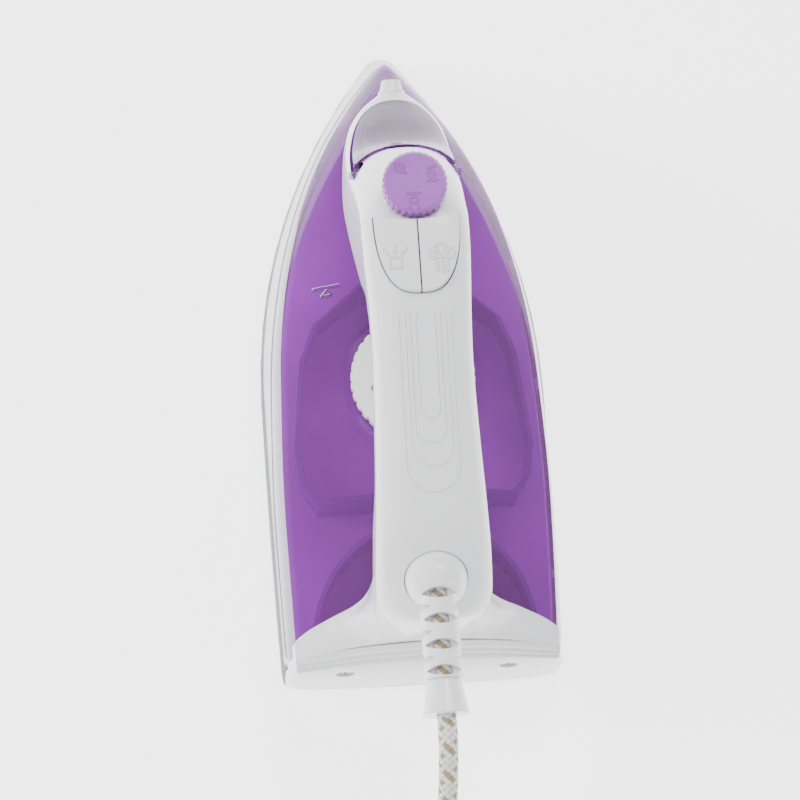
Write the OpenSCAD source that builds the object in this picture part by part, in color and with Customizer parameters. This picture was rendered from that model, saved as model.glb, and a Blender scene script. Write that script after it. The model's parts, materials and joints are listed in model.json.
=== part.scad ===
// Steam iron with a braided mains lead, lying on its soleplate.
// Millimetres. +Z is up, +Y points to the tip of the soleplate, +X is to the right of the
// hand that holds it. The origin is on the table, under the middle of the body.

/* [Overall] */
// Length of the body, from the tip of the soleplate to the back of the heel
body_length = 264; // [256:1:318]
// Width of the soleplate where it is widest
sole_width = 115; // [108:1:138]
// Height of the top of the steam knob above the table
body_height = 136; // [130:1:164]

/* [Soleplate and skirt] */
// Distance from the tip back to the widest place
widest_back = 145; // [135:1:155]
// Radius of the soleplate's tip
sole_tip_r = 8; // [5:0.5:11]
// How much narrower each side is at the back than at the widest place
rear_narrowing = 2; // [1:0.5:3]
// Thickness of the coated sole face
sole_face_t = 2.4; // [2:0.1:3]
// Height of the cast heating base above the table
base_top = 12; // [11:0.5:13]
// Gap between the outline of the sole face and the casting on it
base_inset = 6; // [5:0.5:8]
// Lower edge of the skirt above the table
skirt_bottom = 5; // [4:0.5:6]
// Upper edge of the skirt, where the water tank starts
skirt_top = 21; // [19:0.5:23]
// Wall of the skirt
skirt_wall = 3; // [2.5:0.1:4]
// Steam holes along each side
side_steam_holes = 9; // [5:1:10]
// Bore of one steam hole
steam_hole_d = 2.6; // [2:0.1:3.4]

/* [Water tank] */
// How far the tank's tip lies behind the tip of the soleplate
tank_setback = 11; // [9:0.5:14]
// Gap in plan between the soleplate's edge and the tank's foot
tank_inset = 1.8; // [1.5:0.1:3]
// Wall of the tank
tank_wall = 2.2; // [1.8:0.1:2.6]
// How much each side of the tank draws in beside the front column
tank_waist = 2.6; // [0:0.1:3]
// Lean of the side wall, from its foot to the crease
side_lean = 3.2; // [2:0.1:5]
// Height of the crease between the side wall and the top
crease_z = 43; // [40:0.5:46]
// Height of the top of the tank under the dial
tank_top = 61; // [58:0.5:64]
// Distance of the inner reservoir wall from the middle line
reservoir_half_w = 46; // [42:0.5:47]

/* [Handle] */
// Half the width of the grip where it is slimmest
grip_half_w = 18.8; // [17:0.1:20.5]
// Half the width of the front housing
housing_half_w = 22; // [21.5:0.1:24]
// Height of the grip from its underside to its top
grip_depth = 25; // [23:0.5:27]
// Wall of the handle shells
handle_wall = 2.4; // [2:0.1:2.8]
// Depth of the joint line below the top of the grip
parting_depth = 13; // [12:0.5:14]

/* [Controls] */
// Diameter of the steam knob
knob_d = 24.4; // [22:0.2:26]
// Height of the steam knob
knob_h = 7; // [6:0.5:8]
// Turn of the steam knob, dry to full steam, in degrees
knob_turn = 120; // [90:5:150]
// Lift of the valve rod over that turn
rod_lift = 2; // [1.5:0.1:2.5]
// Diameter of the thermostat dial
dial_d = 48.5; // [44:0.5:51]
// Thickness of the thermostat dial
dial_h = 7; // [6:0.5:8]
// Length of the two buttons together with their round end
button_l = 30; // [27:0.5:31]
// Half the width of the pair of buttons
button_half_w = 16; // [15:0.1:16.6]
// Travel of each button
button_travel = 3.5; // [3:0.1:4]

/* [Fill cover] */
// Distance from the tip of the soleplate back to the cover's front edge
cover_front_back = 39; // [37:0.5:41]
// Distance from the tip of the soleplate back to the cover's pivots
cover_pivot_back = 79; // [78:0.5:80]
// Thickness of the fill cover
cover_t = 2; // [1.6:0.1:2.4]
// How far the fill cover stands proud of the housing round it
cover_rise = 1.4; // [1.2:0.1:1.6]
// Diameter of one pivot
pivot_d = 3; // [2.4:0.1:3.6]

/* [Mains lead] */
// Diameter of the braided lead
cord_d = 7.2; // [6.4:0.1:7.6]
// Diameter of the ball that the lead swivels on
ball_d = 23.2; // [22:0.2:25]
// Outside diameter of the slotted cord guard
guard_d = 14.4; // [13.4:0.2:15.4]
// Length of the cord guard from the middle of the ball
guard_l = 51; // [46:1:56]
// Turns of lead in the stored coil
coil_turns = 6; // [5:1:7]

/* [Hidden] */
$fn = 96;

// Sub-part to draw, or all of them

// Colours
white = [0.95, 0.95, 0.96];
light_grey = [0.78, 0.78, 0.80];
purple = [0.58, 0.22, 0.66];
clear_purple = [0.58, 0.22, 0.66, 0.6];
smoke = [0.55, 0.42, 0.62, 0.6];
steel = [0.72, 0.73, 0.75];
cast = [0.62, 0.63, 0.64];
brass = [0.78, 0.65, 0.33];
black = [0.12, 0.12, 0.13];
dark_rubber = [0.2, 0.2, 0.22];
braid = [0.90, 0.88, 0.82];

// Clearances
fit_gap = 0.1;      // between two fixed pieces that meet
moving_gap = 0.4;   // between a moving piece and what it moves past
shaft_gap = 0.06;   // radial, between a shaft and its bore
past = 1;           // how far a cut runs past the face that it opens

// Fore and aft places, from the tip or from the back of the heel
tip_y = body_length / 2;
rear_y = -body_length / 2;
widest_y = tip_y - widest_back;
housing_front_y = tip_y - 34;
cover_front_y = tip_y - cover_front_back;
pivot_y = tip_y - cover_pivot_back;
inlet_y = tip_y - 53;
knob_y = tip_y - 96;
button_front_y = tip_y - 107;
pump_y = tip_y - 121;
front_foot_y = tip_y - 118;
front_arch_y = tip_y - 140;
dial_y = tip_y - 152;
rear_arch_y = rear_y + 62;
rear_foot_y = rear_y + 48;
ball_y = rear_y + 24;
column_back_y = rear_y + 10.5;
tank_back_y = rear_y + 9;

half_w = sole_width / 2;
tank_half_w = half_w - tank_inset;
tank_tip_y = tip_y - tank_setback;
tank_tip_r = 6;
tank_floor_z = skirt_top + 3;
tank_floor_t = 2;

// Heights in the handle, counted down from the top of the knob
knob_seat_z = body_height - knob_h;
pivot_top_z = body_height - 26;
ball_z = body_height - 33;
grip_top_z = body_height - 14.5;

// ---- Curves and lofts -------------------------------------------------------------------

// Cubic curve through key points [place, value], listed with the place rising.
function key_before(keys, at, i = 0) =
    i >= len(keys) - 2 || at <= keys[i + 1][0] ? i : key_before(keys, at, i + 1);
function key_slope(keys, i) =
    let (a = max(i - 1, 0), b = min(i + 1, len(keys) - 1))
    (keys[b][1] - keys[a][1]) / (keys[b][0] - keys[a][0]);
function curve(keys, at) =
    let (
        i = key_before(keys, at),
        span = keys[i + 1][0] - keys[i][0],
        t = min(1, max(0, (at - keys[i][0]) / span)),
        lean_in = key_slope(keys, i) * span,
        lean_out = key_slope(keys, i + 1) * span
    )
    keys[i][1] * (1 - 3 * t * t + 2 * t * t * t) + keys[i + 1][1] * (3 * t * t - 2 * t * t * t)
        + lean_in * (t - 2 * t * t + t * t * t) + lean_out * (t * t * t - t * t);

// Solid through closed rings of equally many points; each ring is flat and turns
// anticlockwise when it is seen against the direction in which the rings follow.
module loft(rings) {
    n = len(rings[0]);
    m = len(rings);
    start = [[0, for (i = [n - 1:-1:1]) i]];
    end = [[for (i = [0:n - 1]) (m - 1) * n + i]];
    sides = [
        for (j = [0:m - 2], i = [0:n - 1])
            [j * n + i, j * n + (i + 1) % n, (j + 1) * n + (i + 1) % n, (j + 1) * n + i]
    ];
    polyhedron(points = [for (r = rings) each r], faces = concat(start, end, sides));
}

// Ring at y from a right-hand profile of [x, z] points that rises from the foot to the middle.
// It starts in the middle of the foot, so that every point of the ring is seen from there.
function mirrored_ring(y, profile) = concat(
    [[0, y, profile[0][1]]],
    [for (p = profile) [p[0], y, p[1]]],
    [for (i = [len(profile) - 2:-1:0]) [-profile[i][0], y, profile[i][1]]]
);

// Upper corner of a section: a superellipse from the side wall to the middle of the top.
function shoulder(half, top, drop, power, steps) = [
    for (i = [0:steps])
        let (t = 90 * i / steps)
        [half * pow(cos(t), 2 / power), top - drop + drop * pow(sin(t), 2 / power)]
];

// Tube of radius r along points, with flat ends; no stretch of it runs along the side direction.
function unit(v) = v / norm(v);
function tube_ring(at, along, r, sides, side_way) =
    let (side = unit(cross(along, side_way)), up = unit(cross(side, along)))
    [for (i = [0:sides - 1]) at + r * (cos(360 * i / sides) * side + sin(360 * i / sides) * up)];
module tube(points, r, sides, side_way) {
    last = len(points) - 1;
    loft([
        for (i = [0:last])
            tube_ring(points[i], points[min(i + 1, last)] - points[max(i - 1, 0)], r, sides, side_way)
    ]);
}
x_way = [1, 0, 0];
y_way = [0, 1, 0];
z_way = [0, 0, 1];
// Smooth run of points through hand-chosen ones (Catmull-Rom).
function smooth_run(pts, steps) = [
    for (i = [0:len(pts) - 2], s = [0:steps - 1])
        let (
            t = s / steps,
            a = pts[max(i - 1, 0)], b = pts[i], c = pts[i + 1], d = pts[min(i + 2, len(pts) - 1)]
        )
        0.5 * (2 * b + (c - a) * t + (2 * a - 5 * b + 4 * c - d) * t * t
            + (3 * b - a - 3 * c + d) * t * t * t),
    pts[len(pts) - 1]
];

// ---- Outline of the body ----------------------------------------------------------------

// Half width at y of a pointed outline: two long arcs that meet in a small one at the tip,
// and sides that draw in a little towards the back.
function side_radius(half, tip, r) =
    (pow(tip - r - widest_y, 2) + half * half - r * r) / (2 * (half - r));
function fillet_start(half, tip, r) =
    tip - r + r * (tip - r - widest_y) / (side_radius(half, tip, r) - r);
function outline_half(y, half, tip, r, waist = 0) =
    let (big = side_radius(half, tip, r))
    (y > fillet_start(half, tip, r) ? sqrt(max(0, r * r - pow(y - tip + r, 2)))
    : y > widest_y ? half - big + sqrt(big * big - pow(y - widest_y, 2))
    : half - rear_narrowing * pow((widest_y - y) / (widest_y - rear_y), 2))
        - waist * waist_share(y);

// The sides may also draw in between the rear column and the tip.
waist_back_y = rear_y + 60;
waist_front_y = tip_y - 20;
function waist_share(y) =
    y < waist_back_y || y > waist_front_y ? 0
    : pow(sin(180 * (y - waist_back_y) / (waist_front_y - waist_back_y)), 2);

// Places along the body where sections are taken: even steps, then close ones round the tip.
body_steps = 16;
function stations(back, tip, r, half) =
    let (bend = fillet_start(half, tip, r))
    concat(
        [for (i = [0:body_steps]) back + (bend - back) * i / body_steps],
        [for (a = [0.25, 0.5, 0.72, 0.88, 0.97, 0.999]) bend + (tip - bend) * a]
    );
// Whole outline, with a slightly bulging back and round back corners.
rear_bulge = 0.8;
rear_corner = 7;
rear_power = 7;
function rear_edge(half, back) = [
    for (i = [1:11])
        let (t = 180 - 15 * i, c = cos(t), u = (c < 0 ? -1 : 1) * pow(abs(c), 2 / rear_power))
        [half * u, back + rear_corner * (1 - pow(sin(t), 2 / rear_power)) + rear_bulge * u * u]
];
function outline_points(back, half, tip, r, waist = 0) =
    let (ys = stations(back + rear_corner + rear_bulge, tip, r, half), n = len(ys))
    concat(
        [for (y = ys) [outline_half(y, half, tip, r, waist), y]],
        [for (i = [n - 1:-1:0]) [-outline_half(ys[i], half, tip, r, waist), ys[i]]],
        rear_edge(outline_half(ys[0], half, tip, r), back)
    );
module plate(z0, z1, inset, back_inset) {
    translate([0, 0, z0]) linear_extrude(z1 - z0)
        polygon(outline_points(rear_y + back_inset, half_w - inset, tip_y - 1.5 * inset, sole_tip_r));
}

// ---- Soleplate --------------------------------------------------------------------------

sole_screw_places = [[0, tip_y - 46], [-34, rear_y + 34], [34, rear_y + 34]];
sole_screw_d = 4;
element_d = 7;
element_half_w = 25;
element_front_y = tip_y - 86;
element_back_y = rear_y + 52;
element_z = base_top - 1;
chamber_half_w = 15;
chamber_front_y = knob_y + 18;
chamber_back_y = knob_y - 32;
chamber_depth = 5;
gasket_t = 0.8;
chamber_cover_t = 1.6;
chamber_cover_top = base_top + gasket_t + chamber_cover_t;
chamber_screw_places = [
    for (sx = [-1, 1], y = [chamber_back_y - 3, chamber_front_y + 3]) [sx * (chamber_half_w - 3), y]
];

function steam_hole_place(i) =
    let (y = tip_y - 30 - i * 15, inset = 13)
    [outline_half(y, half_w - inset, tip_y - 1.5 * inset, sole_tip_r), y];

module steam_holes(z0, z1, d) {
    for (i = [0:side_steam_holes - 1], sx = [-1, 1])
        let (p = steam_hole_place(i))
            translate([sx * p[0], p[1], z0 - past]) cylinder(d = d, h = z1 - z0 + 2 * past);
}

module sole_face() {
    color(steel) difference() {
        plate(0, sole_face_t, 0, 1.5);
        steam_holes(0, sole_face_t, steam_hole_d);
    }
}

// Outline of the U-shaped heater, as a solid of the given thickness.
module heater_u(d, extra) {
    translate([0, element_front_y, element_z])
        rotate_extrude(angle = 180) translate([element_half_w, 0]) circle(d = d);
    for (sx = [-1, 1])
        translate([sx * element_half_w, element_front_y, element_z])
            rotate([90, 0, 0]) cylinder(d = d, h = element_front_y - element_back_y + extra);
}

module heating_base() {
    color(cast) difference() {
        plate(sole_face_t, base_top, base_inset, base_inset + 5);
        heater_u(element_d, 4);
        for (sx = [-1, 1])
            translate([sx * element_half_w - 2, element_back_y - 14, element_z - 2]) cube([4, 15, 10]);
        translate([-element_half_w - element_d / 2, element_back_y - 4, element_z])
            cube([2 * element_half_w + element_d, 4, element_d]);
        translate([-chamber_half_w + 6, chamber_back_y + 3, base_top - chamber_depth])
            cube([2 * chamber_half_w - 12, chamber_front_y - chamber_back_y - 6, chamber_depth + past]);
        steam_holes(sole_face_t, base_top - chamber_depth - 1, steam_hole_d);
        for (p = chamber_screw_places)
            translate([p[0], p[1], base_top - 6]) cylinder(d = 3, h = 6 + past);
        for (p = sole_screw_places)
            translate([p[0], p[1], base_top - 8]) cylinder(d = sole_screw_d, h = 8 + past);
        translate([0, dial_y, base_top - 2]) cylinder(d = 18, h = 2 + past);
    }
}

module heating_element() {
    color(steel) {
        heater_u(element_d, 0);
        for (sx = [-1, 1])
            translate([sx * element_half_w, element_back_y, element_z])
                rotate([90, 0, 0]) cylinder(d = 3, h = 12);
    }
}

module chamber_sheet(z, t) {
    difference() {
        translate([-chamber_half_w, chamber_back_y - 6, z])
            cube([2 * chamber_half_w, chamber_front_y - chamber_back_y + 12, t]);
        translate([0, knob_y, z - past]) cylinder(d = 6, h = t + 2 * past);
        for (p = chamber_screw_places)
            translate([p[0], p[1], z - past]) cylinder(d = 3, h = t + 2 * past);
    }
}

module chamber_gasket() {
    color(dark_rubber) difference() {
        chamber_sheet(base_top, gasket_t);
        translate([-chamber_half_w + 6, chamber_back_y + 3, base_top - past])
            cube([2 * chamber_half_w - 12, chamber_front_y - chamber_back_y - 6, gasket_t + 2 * past]);
    }
}

module chamber_cover() {
    color(steel) chamber_sheet(base_top + gasket_t, chamber_cover_t);
}

// One screw, head up, with its head resting at z = 0.
module screw(d, head_d, length) {
    head_h = d * 0.6;
    translate([0, 0, -length]) cylinder(d = d, h = length);
    difference() {
        cylinder(d = head_d, h = head_h);
        for (a = [0, 90])
            rotate(a) translate([-head_d * 0.3, -d * 0.1, head_h / 2])
                cube([head_d * 0.6, d * 0.2, head_h]);
    }
}

module chamber_screws() {
    color(steel) for (p = chamber_screw_places)
        translate([p[0], p[1], chamber_cover_top]) screw(3, 5.4, 7);
}

thermostat_top = base_top + 9;
module thermostat_body() {
    color(brass) difference() {
        translate([0, dial_y, base_top - 2]) cylinder(d = 18, h = thermostat_top - base_top + 2);
        translate([0, dial_y, base_top + 3]) cylinder(r = spindle_d / 2 + shaft_gap, h = 8);
    }
}

module thermal_fuse() {
    color(white) translate([0, rear_y + 62, base_top + 2.5])
        rotate([0, 90, 0]) cylinder(d = 5, h = 22, center = true);
    color(steel) for (sx = [-1, 1])
        translate([sx * 9, rear_y + 62, base_top]) cylinder(d = 3, h = 0.6);
}

// ---- Skirt ------------------------------------------------------------------------------

skirt_foot_half = half_w - 1.2;
skirt_foot_tip = tip_y - 1.5;
skirt_head_half = tank_half_w + 0.4;
skirt_head_tip = tank_tip_y + 1.2;
skirt_back_y = rear_y + 8;

function skirt_ring(t) =
    let (
        half = skirt_foot_half + (skirt_head_half - skirt_foot_half) * t,
        tip = skirt_foot_tip + (skirt_head_tip - skirt_foot_tip) * t,
        pts = outline_points(skirt_back_y, half, tip, sole_tip_r - 1.5 * t, tank_waist * t)
    )
    [for (i = [len(pts) - 1:-1:0]) [pts[i][0], pts[i][1], skirt_bottom + (skirt_top - skirt_bottom) * t]];

module skirt() {
    boss_z = base_top + 2.5;
    color(light_grey) {
        difference() {
            loft([skirt_ring(0), skirt_ring(0.5), skirt_ring(0.85), skirt_ring(1)]);
            translate([0, 0, skirt_bottom - past]) linear_extrude(skirt_top)
                polygon(outline_points(skirt_back_y + skirt_wall, tank_half_w - skirt_wall - 1,
                    tank_tip_y - 2 * skirt_wall, 5));
            plate(skirt_bottom - past, base_top + 0.4, base_inset - 0.4, base_inset + 4.6);
        }
        difference() {
            translate([0, 0, boss_z]) linear_extrude(2)
                polygon(outline_points(skirt_back_y + skirt_wall - 1, tank_half_w - skirt_wall,
                    tank_tip_y - 2 * skirt_wall, 5));
            translate([0, 0, boss_z - past]) linear_extrude(2 + 2 * past)
                polygon(outline_points(rear_y + 39, half_w - 20, tip_y - 56, 9));
            for (p = sole_screw_places)
                translate([p[0], p[1], boss_z - past]) cylinder(d = sole_screw_d, h = 2 + 2 * past);
        }
        for (p = sole_screw_places)
            translate([p[0], p[1], base_top]) difference() {
                cylinder(d = 9, h = boss_z - base_top);
                translate([0, 0, -past]) cylinder(d = sole_screw_d, h = 6);
            }
    }
}

module sole_screws() {
    color(steel) for (p = sole_screw_places)
        translate([p[0], p[1], base_top + 4.5]) screw(sole_screw_d, 7.5, 11);
}

// ---- Water tank -------------------------------------------------------------------------

crease_keys = [
    [rear_y, crease_z - 5], [rear_y + 50, crease_z - 0.5], [widest_y, crease_z], [tip_y - 72, crease_z - 4],
    [tip_y - 32, crease_z - 10], [tank_tip_y, skirt_top + 5],
];
crown_keys = [
    [rear_y, tank_top - 16.5], [rear_y + 45, tank_top - 5], [dial_y - 20, tank_top], [dial_y + 22, tank_top],
    [tip_y - 72, tank_top - 6], [tip_y - 32, tank_top - 18], [tank_tip_y, skirt_top + 7],
];
crown_power = 2.4;

// Section of the tank at y, drawn in by d from the outer face.
function tank_profile(y, d) =
    let (
        foot = max(0.6, outline_half(y, tank_half_w, tank_tip_y, tank_tip_r, tank_waist) - d),
        lean = side_lean * min(1, foot / 20),
        crest = max(0.4, foot - lean),
        crease = curve(crease_keys, y) - d,
        crown = max(crease + 0.3, curve(crown_keys, y) - d)
    )
    concat(
        [[foot, skirt_top - (d > 0 ? past : 0)], [foot - 0.3 * lean, skirt_top + 0.5 * (crease - skirt_top)]],
        [for (u = [1, 0.98, 0.92, 0.8, 0.6, 0.35, 0])
            [crest * u, crease + (crown - crease) * (1 - pow(u, crown_power))]]
    );

module tank_solid(d = 0) {
    tip = tank_tip_y - 1.4 * d;
    loft([
        for (y = stations(tank_back_y + d, tip, tank_tip_r, tank_half_w))
            mirrored_ring(y, tank_profile(y + (tank_tip_y - tip) * max(0, y / tip), d))
    ]);
}

dial_recess_r = dial_d / 2 + 3.2;
dial_recess_z = tank_top - 4.5;
spindle_d = 6;
tunnel_d = 15;
wire_tunnel_d = 9;
seat_d = 11.6;
suction_d = 3.6;
suction_x = 9;
seal_d = 11;
fill_floor_z = tank_floor_z + tank_floor_t;

// Rounded trapezoid of the inner reservoir, seen from above.
module reservoir_outline(grow) {
    back = rear_y + 67;
    front = tip_y - 117;
    w = reservoir_half_w + grow;
    polygon([
        for (q = [[w - 8, back - grow], [w - 2, back + 8], [w, back + 22], [w - 4, front - 22],
                  [w - 10, front - 8], [w - 20, front - 1], [18, front + 5 + grow]]) q,
        for (q = [[-18, front + 5 + grow], [-w + 20, front - 1], [-w + 10, front - 8],
                  [-w + 4, front - 22], [-w, back + 22], [-w + 2, back + 8], [-w + 8, back - grow]]) q,
    ]);
}

module tank_floor() {
    color(purple) {
        difference() {
            union() {
                translate([0, 0, tank_floor_z]) linear_extrude(tank_floor_t)
                    polygon(outline_points(tank_back_y + tank_wall + 1, tank_half_w - tank_wall - 1,
                        tank_tip_y - 4 * tank_wall, 5, tank_waist));
                intersection() {
                    translate([0, 0, fill_floor_z]) linear_extrude(tank_top) difference() {
                        reservoir_outline(1);
                        reservoir_outline(-1);
                    }
                    tank_solid(tank_wall + fit_gap);
                }
                intersection() {
                    translate([0, rear_y + 14, fill_floor_z]) difference() {
                        cylinder(r = 44, h = tank_top);
                        translate([0, 0, -past]) cylinder(r = 42, h = tank_top + 2 * past);
                        translate([-60, -60, -past]) cube([120, 66, tank_top + 2 * past]);
                    }
                    tank_solid(tank_wall + fit_gap);
                }
                translate([0, dial_y, fill_floor_z])
                    cylinder(d = tunnel_d, h = dial_recess_z - tank_wall - fit_gap - fill_floor_z);
                intersection() {
                    translate([0, tunnel_y, fill_floor_z]) cylinder(d = wire_tunnel_d + 3, h = tank_top);
                    tank_solid(tank_wall + fit_gap);
                }
            }
            translate([0, dial_y, tank_floor_z - past]) cylinder(d = spindle_d + 3, h = tank_top);
            translate([0, knob_y, tank_floor_z - past])
                cylinder(d = seat_d + 2 * fit_gap, h = tank_floor_t + 2 * past);
            translate([0, tunnel_y, tank_floor_z - past]) cylinder(d = wire_tunnel_d, h = tank_top);
            translate([steam_pipe_x, steam_pipe_y, tank_floor_z - past])
                cylinder(d = hose_d + 2 * fit_gap, h = tank_floor_t + 2 * past);
        }
    }
}

module tank_gasket() {
    color(dark_rubber) difference() {
        translate([0, 0, skirt_top]) linear_extrude(tank_floor_z - skirt_top)
            polygon(outline_points(tank_back_y + tank_wall + 2, tank_half_w - tank_wall - 2,
                tank_tip_y - 3 * tank_wall, 5, tank_waist));
        translate([0, 0, skirt_top - past]) linear_extrude(tank_floor_z)
            polygon(outline_points(tank_back_y + tank_wall + 5, tank_half_w - tank_wall - 5,
                tank_tip_y - 5 * tank_wall, 5, tank_waist));
    }
}

module tank_shell() {
    color(clear_purple) difference() {
        tank_solid();
        difference() {
            tank_solid(tank_wall);
            translate([0, dial_y, dial_recess_z - tank_wall]) cylinder(r = dial_recess_r + 2, h = 30);
        }
        translate([0, dial_y, dial_recess_z]) cylinder(r = dial_recess_r, h = 30);
        translate([0, dial_y, skirt_top]) cylinder(d = spindle_d + 3, h = tank_top);
        at_inlet() translate([0, 0, -funnel_reach - 1])
            cylinder(d = inlet_d + 2 * neck_wall + 2 * fit_gap, h = funnel_reach);
        translate([0, knob_y, tank_floor_z]) cylinder(d = seal_d - 2, h = tank_top);
        for (sx = [-1, 1])
            translate([sx * suction_x, pump_y, tank_floor_z])
                cylinder(d = suction_d + 2 * fit_gap, h = tank_top);
        translate([0, tunnel_y, tank_floor_z]) cylinder(d = wire_tunnel_d, h = tank_top);
        translate([steam_pipe_x, steam_pipe_y, tank_floor_z])
            cylinder(d = hose_d + 2 * fit_gap, h = tank_top);
    }
}

// ---- Steam valve ------------------------------------------------------------------------

rod_d = 4;
needle_d = 2;
seat_z = chamber_cover_top;
seat_top = fill_floor_z + 6;

module valve_seat() {
    color(brass) translate([0, knob_y, 0]) difference() {
        union() {
            translate([0, 0, seat_z]) cylinder(d = seat_d, h = seat_top - seat_z);
            translate([0, 0, fill_floor_z]) cylinder(d = 15, h = 2);
        }
        translate([0, 0, seat_z - past]) cylinder(d = needle_d + 1, h = seat_top);
        translate([0, 0, seat_z + 4]) cylinder(d = rod_d + 2 * shaft_gap, h = seat_top);
        translate([-6, -1, fill_floor_z + 3]) cube([12, 2, 2]);
    }
}

rod_top = knob_seat_z + 2;
module steam_rod() {
    color(steel) translate([0, knob_y, 0]) {
        translate([0, 0, seat_z + 6]) cylinder(d = rod_d, h = rod_top - seat_z - 6);
        translate([0, 0, seat_z + 4.5]) cylinder(d1 = needle_d - 1, d2 = needle_d + 1, h = 1.5);
    }
}

module rod_seal() {
    crown = curve(crown_keys, knob_y);
    color(dark_rubber) translate([0, knob_y, 0]) difference() {
        union() {
            translate([0, 0, crown - 6]) cylinder(d = seal_d - 2 - 2 * fit_gap, h = 8);
            translate([0, 0, crown + 1]) cylinder(d = seal_d, h = 3);
        }
        translate([0, 0, crown - 6 - past]) cylinder(d = rod_d + 2 * shaft_gap, h = 12);
    }
}

knob_flutes = 30;
knob_skirt_h = 4;
module steam_knob() {
    r = knob_d / 2;
    color(purple) translate([0, knob_y, knob_seat_z]) difference() {
        union() {
            cylinder(r = r, h = knob_h - 1.2);
            translate([0, 0, knob_h - 1.2]) cylinder(r1 = r, r2 = r - 1.2, h = 1.2);
            translate([0, 0, -knob_skirt_h]) cylinder(d = 9, h = knob_skirt_h);
        }
        for (i = [0:knob_flutes - 1])
            rotate(360 * i / knob_flutes) translate([r + 0.55, 0, -past])
                cylinder(d = 2, h = knob_h + 2 * past, $fn = 24);
        translate([0, 0, -knob_skirt_h - past])
            cylinder(d = rod_d + 2 * shaft_gap, h = 2.6 + rod_lift + knob_skirt_h + past);
    }
}

// ---- Handle -----------------------------------------------------------------------------

cover_front_z = 62;
cover_slope = 1;
slope_top_y = pivot_y + 15;
handle_top_keys = [
    [column_back_y, ball_z - 8], [ball_y, ball_z + 0.8], [ball_y + 11, ball_z + 8.4],
    [ball_y + 22, grip_top_z - 5.8], [ball_y + 44, grip_top_z - 1.8], [front_arch_y - 30, grip_top_z + 1.5],
    [front_arch_y - 12, grip_top_z + 5.5], [front_arch_y + 4, grip_top_z + 8.2],
    [button_front_y - 14, grip_top_z + 8.8], [button_front_y, grip_top_z + 8.3],
    [knob_y, knob_seat_z - 2.5], [knob_y + 8, knob_seat_z - 8], [pivot_y, pivot_top_z],
    [pivot_y + 8, (pivot_top_z + cover_front_z + cover_slope * (cover_front_y - slope_top_y)) / 2],
    [slope_top_y, cover_front_z + cover_slope * (cover_front_y - slope_top_y)],
    [cover_front_y - 10, cover_front_z + 10 * cover_slope], [cover_front_y, cover_front_z],
    [housing_front_y, cover_front_z - 3.5],
];
handle_half_keys = [
    [column_back_y, grip_half_w - 7], [column_back_y + 1.5, grip_half_w - 2.5],
    [column_back_y + 4, grip_half_w + 0.6], [column_back_y + 8, grip_half_w + 2.6],
    [ball_y, grip_half_w + 3.2], [ball_y + 28, grip_half_w + 2],
    [ball_y + 48, grip_half_w + 1], [front_arch_y - 20, grip_half_w], [front_arch_y, grip_half_w + 0.3],
    [button_front_y - 12, grip_half_w + 1.3], [knob_y, housing_half_w - 1.5], [pivot_y, housing_half_w - 0.5],
    [pivot_y + 8, housing_half_w - 0.5], [inlet_y - 8, housing_half_w - 1.2],
    [inlet_y + 4, housing_half_w - 3.5],
    [cover_front_y, housing_half_w - 9], [housing_front_y, 6.5],
];
foot_half_keys = [
    [column_back_y, grip_half_w - 7], [column_back_y + 1.5, grip_half_w - 2.5],
    [column_back_y + 4, grip_half_w], [ball_y, grip_half_w + 1.2], [rear_foot_y, grip_half_w],
    [front_arch_y, grip_half_w - 5], [front_foot_y, grip_half_w - 4.6],
    [button_front_y - 5, grip_half_w - 2.4], [knob_y, housing_half_w - 1.8],
    [pivot_y, housing_half_w + 0.6], [inlet_y - 8, housing_half_w - 0.5], [inlet_y + 4, housing_half_w - 2.5],
    [cover_front_y, housing_half_w - 8], [housing_front_y, 7],
];
drop_keys = [
    [column_back_y, 14], [front_arch_y - 26, 13], [button_front_y, 11], [knob_y, 20], [pivot_y, 30],
    [pivot_y + 15, 24], [cover_front_y, 12], [housing_front_y, 6],
];
power_keys = [[column_back_y, 2.7], [button_front_y, 2.7], [pivot_y, 2.2], [housing_front_y, 2.2]];
column_foot_z = skirt_top + 9;

function handle_top(y) = curve(handle_top_keys, y);
function handle_half(y) = curve(handle_half_keys, y);
function parting_z(y) = handle_top(y) - parting_depth;

// Foot of the upper shell: on the tank in both columns, at the joint line over the grip.
function shell_foot(y, d) =
    y > front_arch_y + d
        ? max(column_foot_z,
            column_foot_z + (parting_z(front_arch_y) - column_foot_z) * (front_foot_y + d - y)
                / (front_foot_y - front_arch_y))
    : y < rear_arch_y - d
        ? max(column_foot_z,
            column_foot_z + (parting_z(rear_arch_y) - column_foot_z) * (y - rear_foot_y + d)
                / (rear_arch_y - rear_foot_y))
    : parting_z(y) - (d > 0 ? past : 0);

function handle_profile(y, foot, d) =
    let (
        half = max(0.5, handle_half(y) - d),
        foot_half = max(0.5, curve(foot_half_keys, y) - d),
        top = handle_top(y) - d,
        drop = curve(drop_keys, y) - d * 0.4,
        low = min(foot, top - drop - 0.5),
        spread = (top - drop - low) / (top - drop - column_foot_z)
    )
    concat(
        [[half + (foot_half - half) * spread, low]],
        shoulder(half, top, drop, curve(power_keys, y), 6)
    );

handle_stations = concat(
    [column_back_y, column_back_y + 1.5, column_back_y + 4, column_back_y + 8],
    [ball_y, ball_y + 6, ball_y + 12, ball_y + 20],
    [rear_foot_y, rear_foot_y + 7, rear_arch_y],
    [for (i = [1:4]) rear_arch_y + (front_arch_y - rear_arch_y) * i / 5],
    [front_arch_y, front_arch_y + 8, front_arch_y + 15, front_foot_y],
    [button_front_y - 4, button_front_y + 4, knob_y, knob_y + 5, knob_y + 11, pivot_y, pivot_y + 5],
    [pivot_y + 10, slope_top_y, inlet_y, inlet_y + 7, cover_front_y, cover_front_y + 3, housing_front_y]
);

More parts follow.
